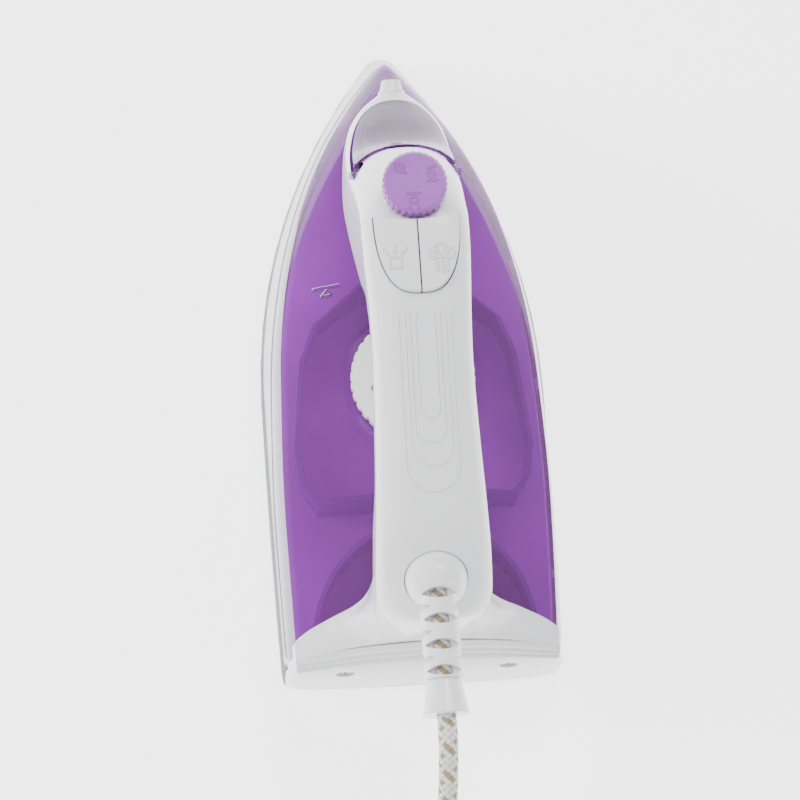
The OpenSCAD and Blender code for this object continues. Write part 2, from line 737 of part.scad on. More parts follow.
module handle_upper_solid(grow = 0) {
    loft([for (y = handle_stations) mirrored_ring(y, handle_profile(y, shell_foot(y, 0), -grow))]);
}

module handle_upper_hollow(d) {
    low = column_back_y + d;
    high = housing_front_y - d;
    ys = sort_up(concat(
        [for (y = handle_stations) if (y > low + 1 && y < high - 1) y],
        [front_arch_y + d + 0.01, rear_arch_y - d - 0.01, front_foot_y + d, rear_foot_y - d],
        [low, high]
    ));
    loft([
        for (y = ys)
            let (cut = y > front_foot_y || y < rear_foot_y ? 12 : 0)
            mirrored_ring(y, handle_profile(y, shell_foot(y, d) - cut, d))
    ]);
}
function sort_up(v) =
    len(v) <= 1 ? v
    : let (middle = v[floor(len(v) / 2)])
        concat(sort_up([for (x = v) if (x < middle) x]), [middle], sort_up([for (x = v) if (x > middle) x]));

// Low wings that spread from the rear column to the corners of the heel.
wing_keys = [
    [rear_y + 4, half_w - 2.4], [rear_y + 11, half_w - 3.4], [rear_y + 17, half_w - 10],
    [rear_y + 22, half_w - 21], [rear_y + 25, half_w - 28.5], [rear_y + 29, half_w - 34],
    [rear_y + 36, half_w - 37.5], [rear_y + 46, half_w - 39],
];
wing_lift = 1.8;
fillet_keys = [[rear_y + 4, 2], [rear_y + 11, 7], [rear_y + 20, 22], [rear_y + 46, 26]];
function tank_height(x, y) =
    let (
        crest = max(1, outline_half(y, tank_half_w, tank_tip_y, tank_tip_r) - side_lean),
        crease = curve(crease_keys, y)
    )
    crease + (curve(crown_keys, y) - crease) * (1 - pow(min(1, abs(x) / crest), crown_power));
function wing_profile(y) =
    let (
        outer = curve(wing_keys, y),
        inner = min(max(handle_half(y), grip_half_w), outer - 0.5),
        fillet = curve(fillet_keys, y)
    )
    concat(
        [[outer, skirt_top + 3]],
        [for (s = [1, 0.85, 0.68, 0.5, 0.34, 0.2, 0.09, 0])
            let (x = inner + (outer - inner) * s)
            [x, tank_height(x, y) + wing_lift + fillet * pow(1 - s, 3)]],
        [[0, tank_height(0, y) + wing_lift + fillet + 1]]
    );
module wings() {
    intersection() {
        wing_loft();
        body_envelope();
    }
}
// Outer faces of the skirt, leaning inwards above it as the tank's side walls do.
module body_envelope() {
    head_half = tank_half_w - side_lean + 0.5;
    loft([
        envelope_ring(skirt_bottom, skirt_foot_half), envelope_ring(skirt_top, skirt_head_half),
        envelope_ring(crease_z - 4, head_half), envelope_ring(body_height, head_half),
    ]);
}
function envelope_ring(z, half) =
    let (pts = outline_points(rear_y, half, skirt_foot_tip, sole_tip_r))
    [for (i = [len(pts) - 1:-1:0]) [pts[i][0], pts[i][1], z]];
module wing_loft() {
    loft([
        for (ahead = [5, 8, 11, 14, 17, 19.5, 22, 25, 29, 34, 40, 46])
            mirrored_ring(rear_y + ahead, wing_profile(rear_y + ahead))
    ]);
}

// Outline of the fill cover in plan: a visor, round in front, hollow behind round the knob.
visor_half_w = housing_half_w - 2.4;
visor_arc_r = 28.5;
cover_gap = 0.8;
visor_cut_z = 48;
module visor_outline(grow) {
    reach = cover_front_y - pivot_y;
    difference() {
        polygon([
            for (i = [0:14])
                let (t = 180 * i / 14)
                [(visor_half_w + grow) * (cos(t) < 0 ? -1 : 1) * pow(abs(cos(t)), 0.75),
                 pivot_y + (reach + grow) * pow(sin(t), 0.9)],
            [-visor_half_w - grow, pivot_y - 1 - grow],
            [visor_half_w + grow, pivot_y - 1 - grow],
        ]);
        translate([0, knob_y]) circle(r = visor_arc_r - 2 * grow);
    }
}

// Pair of buttons in plan: a shield with a round lower end and a hollow upper edge.
shield_arc_r = 44.4;
module shield_outline(grow) {
    difference() {
        polygon([
            for (i = [0:16])
                let (t = 180 * i / 16)
                [(button_half_w + grow) * (cos(t) < 0 ? -1 : 1) * pow(abs(cos(t)), 0.72),
                 button_front_y - (button_l + grow) * pow(sin(t), 0.9)],
            [-button_half_w - grow, button_front_y + grow],
            [button_half_w + grow, button_front_y + grow],
        ]);
        translate([0, button_front_y + shield_arc_r - 2.4]) circle(r = shield_arc_r - grow);
    }
}

pivot_z = pivot_top_z - 17;
pivot_reach = 2;
module pivot_pins(r) {
    for (sx = [-1, 1])
        translate([sx * (visor_half_w - 2), pivot_y, pivot_z])
            rotate([0, 90 * sx, 0]) cylinder(r = r, h = 2 + pivot_reach);
}
// Room in the housing for the ears of the cover as they turn.
ear_room_r = 5;
module ear_room() {
    translate([0, pivot_y, pivot_z]) rotate([0, 90, 0])
        cylinder(r = ear_room_r, h = 2 * visor_half_w + cover_gap, center = true);
}

// Turns its children so that +Z is square to the sloping seat of the lead's ball.
seat_tilt = 36;
module at_ball() {
    translate([0, ball_y, ball_z]) rotate([seat_tilt, 0, 0]) children();
}
socket_gap = 0.08;

// Turns its children so that +Z is square to the slope under the fill cover.
slope_angle = atan(cover_slope);
inlet_z = cover_front_z + cover_slope * (cover_front_y - inlet_y) - 1.5;
module at_inlet() {
    translate([0, inlet_y, inlet_z]) rotate([-slope_angle, 0, 0]) children();
}

// Edge between the wings and the heel piece, in plan.
function seam_y(x) = column_back_y - 3.2 * pow(x / 50, 2);
module behind_seam(z0, z1, gap) {
    translate([0, 0, z0]) linear_extrude(z1 - z0) polygon([
        for (i = [-6:6]) let (x = 10 * i) [x, seam_y(x) + gap],
        [70, rear_y - 10], [-70, rear_y - 10],
    ]);
}
seam_z = body_height - 74;

button_well_z = knob_seat_z - 9;
button_proud = 2.4;
knob_boss_r = 11.2;
grip_screw_ys = [front_arch_y - 9, rear_arch_y + 9];
grip_screw_d = 3.5;
heel_screw_x = 32;
heel_screw_z = 30;
heel_screw_d = 3.5;

module handle_shell() {
    color(white) difference() {
        union() {
            difference() {
                union() {
                    handle_upper_solid();
                    wings();
                }
                handle_upper_hollow(handle_wall);
            }
            translate([0, knob_y, knob_seat_z - 14]) cylinder(r = knob_boss_r, h = 13.6);
            for (y = grip_screw_ys)
                translate([0, y, parting_z(y) + 1]) cylinder(d = 8, h = parting_depth - 2);
            clamp_shelves();
        }
        tank_solid();
        behind_seam(0, seam_z, fit_gap);
        translate([0, 0, visor_cut_z]) linear_extrude(60) visor_outline(cover_gap);
        ear_room();
        pivot_pins(pivot_d / 2 + shaft_gap);
        translate([0, 0, button_well_z - 6]) linear_extrude(40) shield_outline(moving_gap);
        translate([0, knob_y, 0]) cylinder(r = 4.5 + shaft_gap, h = body_height);
        translate([0, knob_y, knob_seat_z - moving_gap]) cylinder(d = knob_d + 1.2, h = knob_h);
        at_nozzle() translate([0, 0, -9]) cylinder(d = 6 + 2 * fit_gap, h = 10);
        at_nozzle() cylinder(d = 10.8 + 2 * fit_gap, h = 9);
        at_ball() cylinder(r = ball_d / 2 + 0.3, h = 40, center = true);
        for (y = grip_screw_ys)
            translate([0, y, parting_z(y)]) cylinder(d = grip_screw_d, h = parting_depth - 3);
    }
}

grip_power = 2.7;
function under_z(y) = handle_top(y) - grip_depth;
function grip_profile(y, d) =
    let (
        half = handle_half(y) - d,
        low = under_z(y) + d,
        high = parting_z(y) + (d > 0 ? past : 0),
        drop = 9 - d
    )
    concat(
        [for (i = [0:6])
            let (t = 15 * i)
            [max(0.4, half * pow(sin(t), 2 / grip_power)), low + drop - drop * pow(cos(t), 2 / grip_power)]],
        [[half, high], [0, high]]
    );
module grip_loft(d) {
    low = rear_arch_y - 13;
    high = front_arch_y + 11;
    loft([for (i = [0:10]) let (y = low + (high - low) * i / 10) mirrored_ring(y, grip_profile(y, d))]);
}

module handle_grip() {
    color(white) difference() {
        union() {
            difference() {
                grip_loft(0);
                grip_loft(handle_wall);
            }
            for (y = grip_screw_ys)
                translate([0, y, under_z(y) + 2]) cylinder(d = 8, h = grip_depth - parting_depth - 2);
        }
        handle_upper_solid();
        for (y = grip_screw_ys)
            translate([0, y, under_z(y)]) {
                translate([0, 0, -past]) cylinder(d = grip_screw_d, h = grip_depth);
                translate([0, 0, -past]) cylinder(d = 7, h = 4 + past);
            }
    }
}

module handle_screws() {
    color(steel) for (y = grip_screw_ys)
        translate([0, y, under_z(y) + 4]) rotate([180, 0, 0])
            screw(grip_screw_d, 6.4, grip_depth - parting_depth + 3);
}

// ---- Heel -------------------------------------------------------------------------------

heel_half = skirt_foot_half - 0.6;
heel_stations = [
    for (i = [0:12])
        let (c = cos(180 - 15 * i))
        heel_half * (c < 0 ? -1 : 1) * pow(abs(c), 2 / rear_power)
];
function heel_back(x) =
    let (u = min(1, abs(x) / heel_half))
    rear_y + 4.5 * (1 - pow(max(0, 1 - pow(u, rear_power)), 1 / rear_power)) + rear_bulge * u * u;
// Section of the heel at x, from the front of its foot round the back to the seam.
function heel_ring(x) =
    let (
        share = pow(x / heel_half, 2),
        back = min(heel_back(x), tank_back_y - 2.2),
        front = skirt_back_y - fit_gap,
        edge_z = crease_z - 1 - 5 * share,
        lean = 5.2 - 4.2 * share,
        seam = max(seam_y(x), back + lean + 1.5),
        crest = tank_height(min(abs(x), 51), tank_back_y) + 3.5,
        step = max(0.9, crest - edge_z) / 3,
        run = (seam - back - lean) / 3
    )
    [
        [x, front, skirt_bottom], [x, back + 1.2, skirt_bottom], [x, back, skirt_bottom + 2],
        [x, back + 0.4 * lean, edge_z * 0.6], [x, back + 0.8 * lean, edge_z - 1.2], [x, back + lean, edge_z],
        [x, back + lean + run * 0.6, edge_z + step * 0.2], [x, back + lean + run * 0.8, edge_z + step],
        [x, back + lean + run * 1.5, edge_z + step * 1.3], [x, back + lean + run * 1.7, edge_z + step * 2.1],
        [x, seam - 0.3, edge_z + 3 * step - 0.3], [x, seam, edge_z + 3 * step - 0.6],
        [x, seam, edge_z - 4.5], [x, front, edge_z - 6],
    ];
module heel_cover() {
    color(white) difference() {
        intersection() {
            loft([for (x = heel_stations) heel_ring(x)]);
            body_envelope();
            behind_seam(0, body_height, 0);
        }
        tank_solid();
        for (sx = [-1, 1])
            translate([sx * heel_screw_x, rear_y - past, heel_screw_z]) rotate([-90, 0, 0]) {
                cylinder(d = 7.4, h = 5 + past);
                cylinder(d = heel_screw_d, h = 30);
            }
    }
}

module heel_screws() {
    color(steel) for (sx = [-1, 1])
        translate([sx * heel_screw_x, rear_y + 5, heel_screw_z]) rotate([90, 0, 0])
            screw(heel_screw_d, 6.8, tank_back_y - rear_y - 5.4);
}

// ---- Filling and spray ------------------------------------------------------------------

inlet_d = 17.7;
neck_wall = 1.6;
deck_t = 1.6;
deck_depth = 4;
bowl_depth = 3.5;
funnel_reach = 30;
module fill_funnel() {
    color(clear_purple) intersection() {
        difference() {
            union() {
                at_inlet() translate([-40, -40, -deck_depth - deck_t]) cube([80, 80, deck_t]);
                at_inlet() translate([0, 0, -deck_depth - bowl_depth - deck_t])
                    cylinder(d = inlet_d + 8 + 2 * neck_wall, h = bowl_depth + deck_t);
                at_inlet() translate([0, 0, -funnel_reach])
                    cylinder(d = inlet_d + 2 * neck_wall, h = funnel_reach - deck_depth - 1);
            }
            at_inlet() translate([0, 0, -deck_depth - bowl_depth]) cylinder(d = inlet_d + 8, h = 20);
            at_inlet() translate([0, 0, -funnel_reach - past]) cylinder(d = inlet_d, h = 80);
        }
        cover_loft(cover_t + 0.6);
        translate([0, 0, skirt_top]) linear_extrude(body_height) visor_outline(-0.4);
    }
}

module fill_cover() {
    color(smoke) {
        intersection() {
            difference() {
                cover_loft(-cover_rise);
                cover_loft(cover_t - cover_rise);
            }
            translate([0, 0, visor_cut_z]) linear_extrude(60) visor_outline(0);
        }
        for (sx = [-1, 1])
            translate([sx * (visor_half_w - 1), pivot_y, pivot_z]) {
                rotate([0, 90, 0]) cylinder(d = pivot_d + 2, h = 2, center = true);
                translate([-1, 0, -1.7]) cube([2, ear_room_r - 0.4, 2.4]);
            }
        pivot_pins(pivot_d / 2);
    }
}
module cover_loft(d) {
    ys = concat([for (y = [pivot_y - 3:4:cover_front_y]) y], [cover_front_y + 2]);
    loft([for (y = ys) mirrored_ring(y, handle_profile(y, visor_cut_z - 2, d))]);
}

nozzle_z = 52.5;
nozzle_lean = 8;
module at_nozzle() {
    translate([0, housing_front_y, nozzle_z]) rotate([-90 + nozzle_lean, 0, 0]) children();
}
module spray_nozzle() {
    color(white) difference() {
        union() {
            at_nozzle() translate([0, 0, 0.1]) cylinder(d = 10.8, h = 2);
            at_nozzle() translate([0, 0, 2]) cylinder(d1 = 9.6, d2 = 7.4, h = 4.6);
            at_nozzle() translate([0, 0, -5]) cylinder(d = 6, h = 6);
        }
        at_nozzle() translate([0, 0, 2.4]) cylinder(d = 4 + 2 * shaft_gap, h = 8);
        at_nozzle() translate([0, 0, -6]) cylinder(d = 2.4, h = 12);
    }
}
module nozzle_tip() {
    color(white) difference() {
        at_nozzle() translate([0, 0, 2.4]) cylinder(d = 4, h = 4.4);
        at_nozzle() cylinder(d = 0.8, h = 12);
    }
}

pump_d = 12;
pump_bore_d = 8.8;
pump_z = knob_seat_z - 50;
pump_top = knob_seat_z - 19;
spring_top = button_well_z;
plunger_d = 5;

module pump_body(sx) {
    color(white) translate([sx * suction_x, pump_y, 0]) difference() {
        union() {
            translate([0, 0, pump_z]) cylinder(d = pump_d, h = pump_top - pump_z);
            translate([0, 0, pump_z - 5]) cylinder(d = 5, h = 6);
            translate([0, 0, pump_z + 6]) rotate([-90, 0, 0]) cylinder(d = 4, h = pump_d / 2 + 4);
        }
        translate([0, 0, pump_z + 2.5]) cylinder(d = pump_bore_d, h = pump_top - pump_z - 4.5);
        translate([0, 0, pump_top - 3]) cylinder(r = plunger_d / 2 + shaft_gap, h = 6);
        translate([0, 0, pump_z - 8]) cylinder(d = suction_d, h = 5.5);
        translate([0, 0, pump_z - 5]) cylinder(d = 1.6, h = 10);
        translate([0, 0, pump_z + 6]) rotate([-90, 0, 0]) cylinder(d = 1.6, h = pump_d);
    }
}
module spray_pump_body() { pump_body(-1); }
module burst_pump_body() { pump_body(1); }

module pump_bracket() {
    half = handle_half(pump_y) - handle_wall - 1.8;
    color(steel) translate([0, 0, pump_top - 6]) difference() {
        translate([-half, pump_y - 8, 0]) cube([2 * half, 16, 2]);
        for (sx = [-1, 1])
            translate([sx * suction_x, pump_y, -past]) cylinder(d = pump_d + 2 * fit_gap, h = 2 + 2 * past);
    }
}

module piston(sx) {
    head_z = pump_top - 12;
    color(dark_rubber) translate([sx * suction_x, pump_y, head_z])
        cylinder(r = pump_bore_d / 2 - shaft_gap, h = 5);
    color(white) translate([sx * suction_x, pump_y, head_z + 5])
        cylinder(d = plunger_d, h = button_well_z + 3 - head_z - 5);
}
module spray_piston() { piston(-1); }
module burst_piston() { piston(1); }

spring_wire_r = 0.5;
spring_turns = 5;
module button_spring(sx) {
    low = pump_top + spring_wire_r + 0.1;
    high = spring_top - spring_wire_r - 0.1;
    n = spring_turns * 10;
    color(steel) translate([sx * suction_x, pump_y, 0])
        tube([for (i = [0:n]) [4.2 * cos(36 * i), 4.2 * sin(36 * i), low + (high - low) * i / n]],
            spring_wire_r, 6, z_way);
}
module spray_spring() { button_spring(-1); }
module burst_spring() { button_spring(1); }

module button(sx) {
    color(white) difference() {
        intersection() {
            button_loft(button_proud);
            translate([0, 0, button_well_z]) linear_extrude(40) intersection() {
                shield_outline(0);
                translate([sx > 0 ? 0.25 : -40.25, -60]) square([40, 120]);
            }
        }
        translate([sx * suction_x, pump_y, button_well_z - past]) cylinder(d = plunger_d, h = 3 + past);
    }
}
module button_loft(grow) {
    low = button_front_y - button_l - 2;
    high = button_front_y + 2;
    loft([for (i = [0:5]) let (y = low + (high - low) * i / 5)
        mirrored_ring(y, handle_profile(y, button_well_z - 10, -grow))]);
}
module spray_button() { button(-1); }
module burst_button() { button(1); }

module suction_tube(sx) {
    color(white) translate([sx * suction_x, pump_y, fill_floor_z + 2]) difference() {
        cylinder(d = suction_d, h = pump_z - 5 + 2 - fill_floor_z - 2);
        translate([0, 0, -past]) cylinder(d = 1.8, h = pump_z);
    }
}
module spray_suction_tube() { suction_tube(-1); }
module burst_suction_tube() { suction_tube(1); }

hose_d = 4.4;
outlet_z = pump_z + 6;
module spray_hose() {
    start = [-suction_x, pump_y + pump_d / 2 + 4, outlet_z];
    finish = [0, housing_front_y - 5.6, nozzle_z - 0.7];
    color(dark_rubber) tube(smooth_run([
        start, start + [-1, 5, 0], start + [-5, 16, -5], [-14.5, inlet_y - 22, 66], [-14, inlet_y - 8, 58],
        [-9, inlet_y + 3, 52], [-1.5, finish[1] - 5, nozzle_z - 1.3], finish,
    ], 3), hose_d / 2 - 0.2, 8, z_way);
}
steam_pipe_x = 11;
steam_pipe_y = knob_y - 8;
module burst_hose() {
    start = [suction_x, pump_y + pump_d / 2 + 4, outlet_z];
    color(dark_rubber) tube(smooth_run([
        start, start + [0.3, 2, -0.4], [steam_pipe_x, steam_pipe_y - 1.5, outlet_z - 4],
        [steam_pipe_x, steam_pipe_y, outlet_z - 10], [steam_pipe_x, steam_pipe_y, 52],
        [steam_pipe_x, steam_pipe_y, 34], [steam_pipe_x, steam_pipe_y, chamber_cover_top + 0.2],
    ], 3), hose_d / 2 - 0.2, 8, x_way);
}

// ---- Thermostat dial --------------------------------------------------------------------

dial_z = dial_recess_z + 0.8;
dial_notches = 36;
module thermostat_spindle() {
    color(steel) translate([0, dial_y, base_top + 3.5])
        cylinder(d = spindle_d, h = dial_z + 4 - base_top - 3.5);
}
module thermostat_dial() {
    r = dial_d / 2;
    color(white) translate([0, dial_y, dial_z]) difference() {
        union() {
            cylinder(r = r, h = dial_h - 2.5);
            cylinder(r = r - 3.2, h = dial_h - 1);
            difference() {
                cylinder(r = r - 8, h = dial_h);
                translate([0, 0, dial_h - 2]) cylinder(r = r - 10, h = 4);
            }
        }
        for (i = [0:dial_notches - 1])
            rotate(360 * i / dial_notches) translate([r + 0.5, 0, -past])
                cylinder(d = 2.2, h = dial_h + 2 * past, $fn = 16);
        translate([0, 0, -past]) cylinder(d = spindle_d, h = 4 + past);
    }
}

// ---- Lead, ball and guard ---------------------------------------------------------------

ball_r = ball_d / 2;
module ball_socket() {
    color(white) difference() {
        at_ball() difference() {
            sphere(r = ball_r + 2.4);
            sphere(r = ball_r + socket_gap);
            translate([-30, -30, -3.4]) cube([60, 60, 60]);
            cylinder(d = 15, h = 60, center = true);
        }
        translate([-30, column_back_y + handle_wall + 0.2 - 30, 0]) cube([60, 30, body_height]);
    }
}

guard_rise = 3;
slot_pitch = 9.6;
slot_start = 6.5;
slot_count = 4;
// Eye-shaped cut, centred, of the given width and length, right through along Z.
module eye(w, l, h) {
    r = (w * w + l * l) / (4 * l);
    intersection() {
        translate([0, r - l / 2, 0]) cylinder(r = r, h = h);
        translate([0, l / 2 - r, 0]) cylinder(r = r, h = h);
    }
}
module cord_guard() {
    color(white) translate([0, ball_y, ball_z]) difference() {
        union() {
            difference() {
                sphere(r = ball_r);
                rotate([seat_tilt, 0, 0]) translate([0, 0, -ball_r - 1]) cylinder(d = 14, h = 8);
            }
            translate([0, 0, guard_rise]) rotate([90, 0, 0]) cylinder(d = guard_d, h = guard_l - 13);
            translate([0, -guard_l + 13, guard_rise]) rotate([90, 0, 0])
                cylinder(d1 = guard_d - 2.2, d2 = guard_d + 3.2, h = 13);
        }
        translate([0, 5, guard_rise]) rotate([90, 0, 0]) cylinder(d = cord_d + 0.3, h = guard_l + 10);
        for (i = [0:slot_count - 1])
            translate([0, -slot_start - i * slot_pitch, guard_rise]) {
                translate([0, 0, 2]) eye(12.6, 4, 12);
                translate([0, 0, -12 - 2]) eye(12.6, 4, 12);
                if (i < slot_count - 1)
                    for (sx = [-1, 1])
                        translate([0, -slot_pitch / 2, 0]) rotate([0, 90 * sx, 0])
                            translate([0, 0, 2]) eye(12.6, 3.6, 12);
            }
    }
}
module cord_in_guard() {
    color(braid) translate([0, ball_y + 4, ball_z + guard_rise]) rotate([90, 0, 0])
        cylinder(d = cord_d, h = guard_l + 4 - 0.4);
}

clamp_y = ball_y + 17;
clamp_z = ball_z - 26;
clamp_screw_x = 10;
clamp_under_z = clamp_z - 6;
block_half_w = 8;
block_h = 10;
block_z = clamp_under_z - block_h - 1;
terminal_x = 5.2;
module cord_inner() {
    color(braid) tube(smooth_run([
        [0, ball_y + 9, ball_z - 13.6], [0, ball_y + 12, ball_z - 17], [0, ball_y + 15, ball_z - 21],
        [0, clamp_y, clamp_z], [0, clamp_y, clamp_under_z - 0.5],
    ], 3), cord_d / 2 - 0.3, 10, x_way);
}
module cord_clamp() {
    color(white) translate([0, clamp_y, clamp_under_z]) difference() {
        translate([-14, -5.5, 0]) cube([28, 11, 4]);
        translate([0, 0, -past]) cylinder(d = cord_d + 0.2, h = 8);
        for (sx = [-1, 1])
            translate([sx * clamp_screw_x, 0, -past]) cylinder(d = 3, h = 8);
    }
}
module clamp_screws() {
    color(steel) for (sx = [-1, 1])
        translate([sx * clamp_screw_x, clamp_y, clamp_under_z + 4]) screw(3, 5.4, 9);
}
// Two shelves inside the rear column, which carry the clamp and hold the terminals between them.
module clamp_shelves() {
    for (sx = [-1, 1])
        translate([sx * clamp_screw_x, clamp_y, block_z]) difference() {
            translate([sx > 0 ? block_half_w + fit_gap - clamp_screw_x : -9, -5.5, 0])
                cube([9 + clamp_screw_x - block_half_w - fit_gap, 11, clamp_under_z - block_z]);
            translate([0, 0, clamp_under_z - block_z - 6]) cylinder(d = 3, h = 6 + past);
        }
}

tunnel_y = rear_y + 42;
module terminal_block() {
    color(white) translate([0, tunnel_y, block_z]) difference() {
        translate([-block_half_w, -6, 0]) cube([2 * block_half_w, 12, block_h]);
        for (x = [-terminal_x, 0, terminal_x]) {
            translate([x, 0, -past]) cylinder(d = 3, h = 5);
            translate([x, 0, block_h / 2]) cylinder(d = 4.4, h = block_h);
        }
    }
}
wire_r = 1.2;
module lead_wire(x, side, end) {
    tube(smooth_run([
        [x, tunnel_y, block_z + 3.8], [x, tunnel_y, block_z - 1], [x * 0.53, tunnel_y, block_z - 6],
        [x * 0.53, tunnel_y, 38], [x * 0.53, tunnel_y, 23], [side, tunnel_y + 1, 18.5], end,
    ], 3), wire_r, 8, y_way);
}
element_pin = [element_half_w, element_back_y - 8, element_z + 3];
module live_wire() {
    color([0.45, 0.28, 0.18]) lead_wire(-terminal_x, -8, [-element_pin[0], element_pin[1], element_pin[2]]);
}
module neutral_wire() {
    color([0.2, 0.35, 0.7]) lead_wire(terminal_x, 8, element_pin);
}
module earth_wire() {
    color([0.55, 0.7, 0.2]) lead_wire(0, 0, [0, tunnel_y + 2, base_top + 1.4]);
}

// Free part of the lead: straight out of the guard, down on to the table, into the coil.
cord_r = cord_d / 2;
cord_exit = [0, ball_y - guard_l - 1.6, ball_z + guard_rise];
coil_x = 44;
coil_y = -292;
coil_mid_r = 40;
coil_rows = 3;
tie_t = 0.8;
coil_band = ceil(coil_turns / coil_rows) * cord_d;
coil_in_r = coil_mid_r - coil_band / 2 - 0.2;
coil_out_r = coil_mid_r + coil_band / 2 + 0.2;
coil_h = coil_rows * cord_d;
cord_points = [
    cord_exit, cord_exit + [0, -8, 0], [-0.6, -180, 103], [-1.6, -195, 96], [-2.8, -208, 82],
    [-3.4, -214, 65], [-3.8, -217, 47], [-4, -222, 29], [-4.2, -231, 15], [-4.4, -244, 6.5],
    [-4.4, -258, cord_r + 0.3], [-4.4, -272, cord_r + 0.3], [-4.4, -286, cord_r + 0.3],
];
module coil_ring(grow) {
    translate([coil_x, coil_y, tie_t])
        rotate_extrude() translate([coil_in_r - grow, 0])
            square([coil_out_r - coil_in_r + 2 * grow, coil_h + grow]);
}
module cord_run() {
    color(braid) difference() {
        tube(smooth_run(cord_points, 4), cord_r, 10, x_way);
        coil_ring(0);
    }
}
module cord_coil() {
    color(braid) coil_ring(0);
}
module cord_tie() {
    w = coil_out_r - coil_in_r + 0.2;
    color(black) translate([coil_x, coil_y - coil_mid_r, 0]) difference() {
        translate([-5, -w / 2 - tie_t, 0]) cube([10, w + 2 * tie_t, coil_h + 2 * tie_t]);
        translate([-coil_x, coil_mid_r - coil_y, 0]) coil_ring(0);
    }
}

plug_r = 18.5;
plug_x = coil_x + coil_out_r + 6;
plug_back_y = coil_y + 30;
plug_pin_d = 4.8;
plug_pin_gap = 19;
plug_pin_l = 19;
module at_plug() {
    translate([plug_x, plug_back_y, plug_r]) rotate([-90, 0, 0]) children();
}
module plug_body() {
    color(white) difference() {
        union() {
            at_plug() cylinder(d1 = 15, d2 = 2 * plug_r, h = 10);
            at_plug() translate([0, 0, 10]) cylinder(r = plug_r, h = 26);
            at_plug() translate([0, 0, -26]) cylinder(d1 = cord_d + 1.6, d2 = 14, h = 26.5);
        }
        coil_ring(0);
        for (sx = [-1, 1])
            at_plug() translate([sx * plug_pin_gap / 2, 0, 26]) cylinder(d = plug_pin_d, h = 12);
        for (sz = [-1, 1])
            at_plug() translate([-3, sz > 0 ? plug_r - 1.6 : -plug_r - past, 14]) cube([6, 1.6 + past, 24]);
    }
}
module plug_pins() {
    color(steel) for (sx = [-1, 1])
        at_plug() translate([sx * plug_pin_gap / 2, 0, 26]) {
            cylinder(d = plug_pin_d, h = 9 + plug_pin_l);
            translate([0, 0, 9 + plug_pin_l]) cylinder(d1 = plug_pin_d, d2 = plug_pin_d - 2, h = 1);
        }
}
module plug_earth_clips() {
    color(brass) for (sz = [-1, 1])
        at_plug() translate([-2.8, sz > 0 ? plug_r - 1.6 : -plug_r + 0.4, 14.2]) cube([5.6, 1.2, 21]);
}

sole_face();
heating_base();
heating_element();
chamber_gasket();
chamber_cover();
chamber_screws();
thermostat_body();
thermal_fuse();
skirt();
sole_screws();
tank_floor();
tank_gasket();
tank_shell();
valve_seat();
steam_rod();
rod_seal();
steam_knob();
spray_pump_body();
burst_pump_body();
pump_bracket();
spray_piston();
burst_piston();
spray_spring();
burst_spring();
spray_button();
burst_button();
spray_suction_tube();
burst_suction_tube();
spray_hose();
burst_hose();
spray_nozzle();
nozzle_tip();
fill_funnel();
fill_cover();
handle_shell();
handle_grip();
handle_screws();
heel_cover();
heel_screws();
thermostat_spindle();
thermostat_dial();
ball_socket();
cord_guard();
cord_in_guard();
cord_inner();
cord_clamp();
clamp_screws();
terminal_block();
live_wire();
neutral_wire();
earth_wire();
cord_run();
cord_coil();
cord_tie();
plug_body();
plug_pins();
plug_earth_clips();
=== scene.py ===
import json
import math

import bpy
import numpy as np
from mathutils import Matrix, Vector


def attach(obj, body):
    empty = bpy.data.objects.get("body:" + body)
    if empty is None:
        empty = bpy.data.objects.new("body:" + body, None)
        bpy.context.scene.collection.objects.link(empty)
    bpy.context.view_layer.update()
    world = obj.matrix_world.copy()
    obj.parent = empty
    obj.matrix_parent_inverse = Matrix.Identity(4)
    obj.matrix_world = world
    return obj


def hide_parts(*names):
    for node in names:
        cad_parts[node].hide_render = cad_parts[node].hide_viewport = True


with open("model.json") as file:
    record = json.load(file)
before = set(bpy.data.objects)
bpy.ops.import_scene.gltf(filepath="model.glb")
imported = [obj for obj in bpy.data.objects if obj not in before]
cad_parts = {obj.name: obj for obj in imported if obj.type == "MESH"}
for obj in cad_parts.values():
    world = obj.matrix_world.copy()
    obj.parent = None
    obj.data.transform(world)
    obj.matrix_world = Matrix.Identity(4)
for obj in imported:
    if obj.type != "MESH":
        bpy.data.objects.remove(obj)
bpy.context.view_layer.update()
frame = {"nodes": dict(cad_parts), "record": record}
nodes = frame["nodes"]
MM = 0.001

# ---- Sizes that the looks share with the CAD model ----------------------------------------

TIP_Y, REAR_Y, WIDEST_Y = 132.0, -132.0, -13.0
TANK_HALF_W, TANK_TIP_Y, TANK_TIP_R = 55.7, 121.0, 6.0
TANK_BACK_Y, TANK_WAIST, TANK_WALL, SIDE_LEAN = -123.0, 2.6, 2.2, 3.2
SKIRT_BOTTOM, SKIRT_TOP, SKIRT_WALL, SKIRT_BACK_Y = 5.0, 21.0, 3.0, -124.0
SKIRT_FOOT = (56.3, 130.5)
SKIRT_HEAD = (TANK_HALF_W + 0.4, TANK_TIP_Y + 1.2)
SOLE_TIP_R, REAR_NARROWING = 8.0, 2.0
REAR_BULGE, REAR_CORNER, REAR_POWER = 0.8, 7.0, 7.0
CREASE_Z = 43.0
HOUSING_FRONT_Y, COVER_FRONT_Y, INLET_Y, PIVOT_Y, KNOB_Y = 98.0, 93.0, 79.0, 53.0, 36.0
BUTTON_FRONT_Y, FRONT_FOOT_Y, PUMP_Y, FRONT_ARCH_Y, DIAL_Y = 25.0, 14.0, 11.0, -8.0, -20.0
REAR_ARCH_Y, REAR_FOOT_Y, TUNNEL_Y, BALL_Y, COLUMN_BACK_Y = -70.0, -84.0, -90.0, -108.0, -121.5
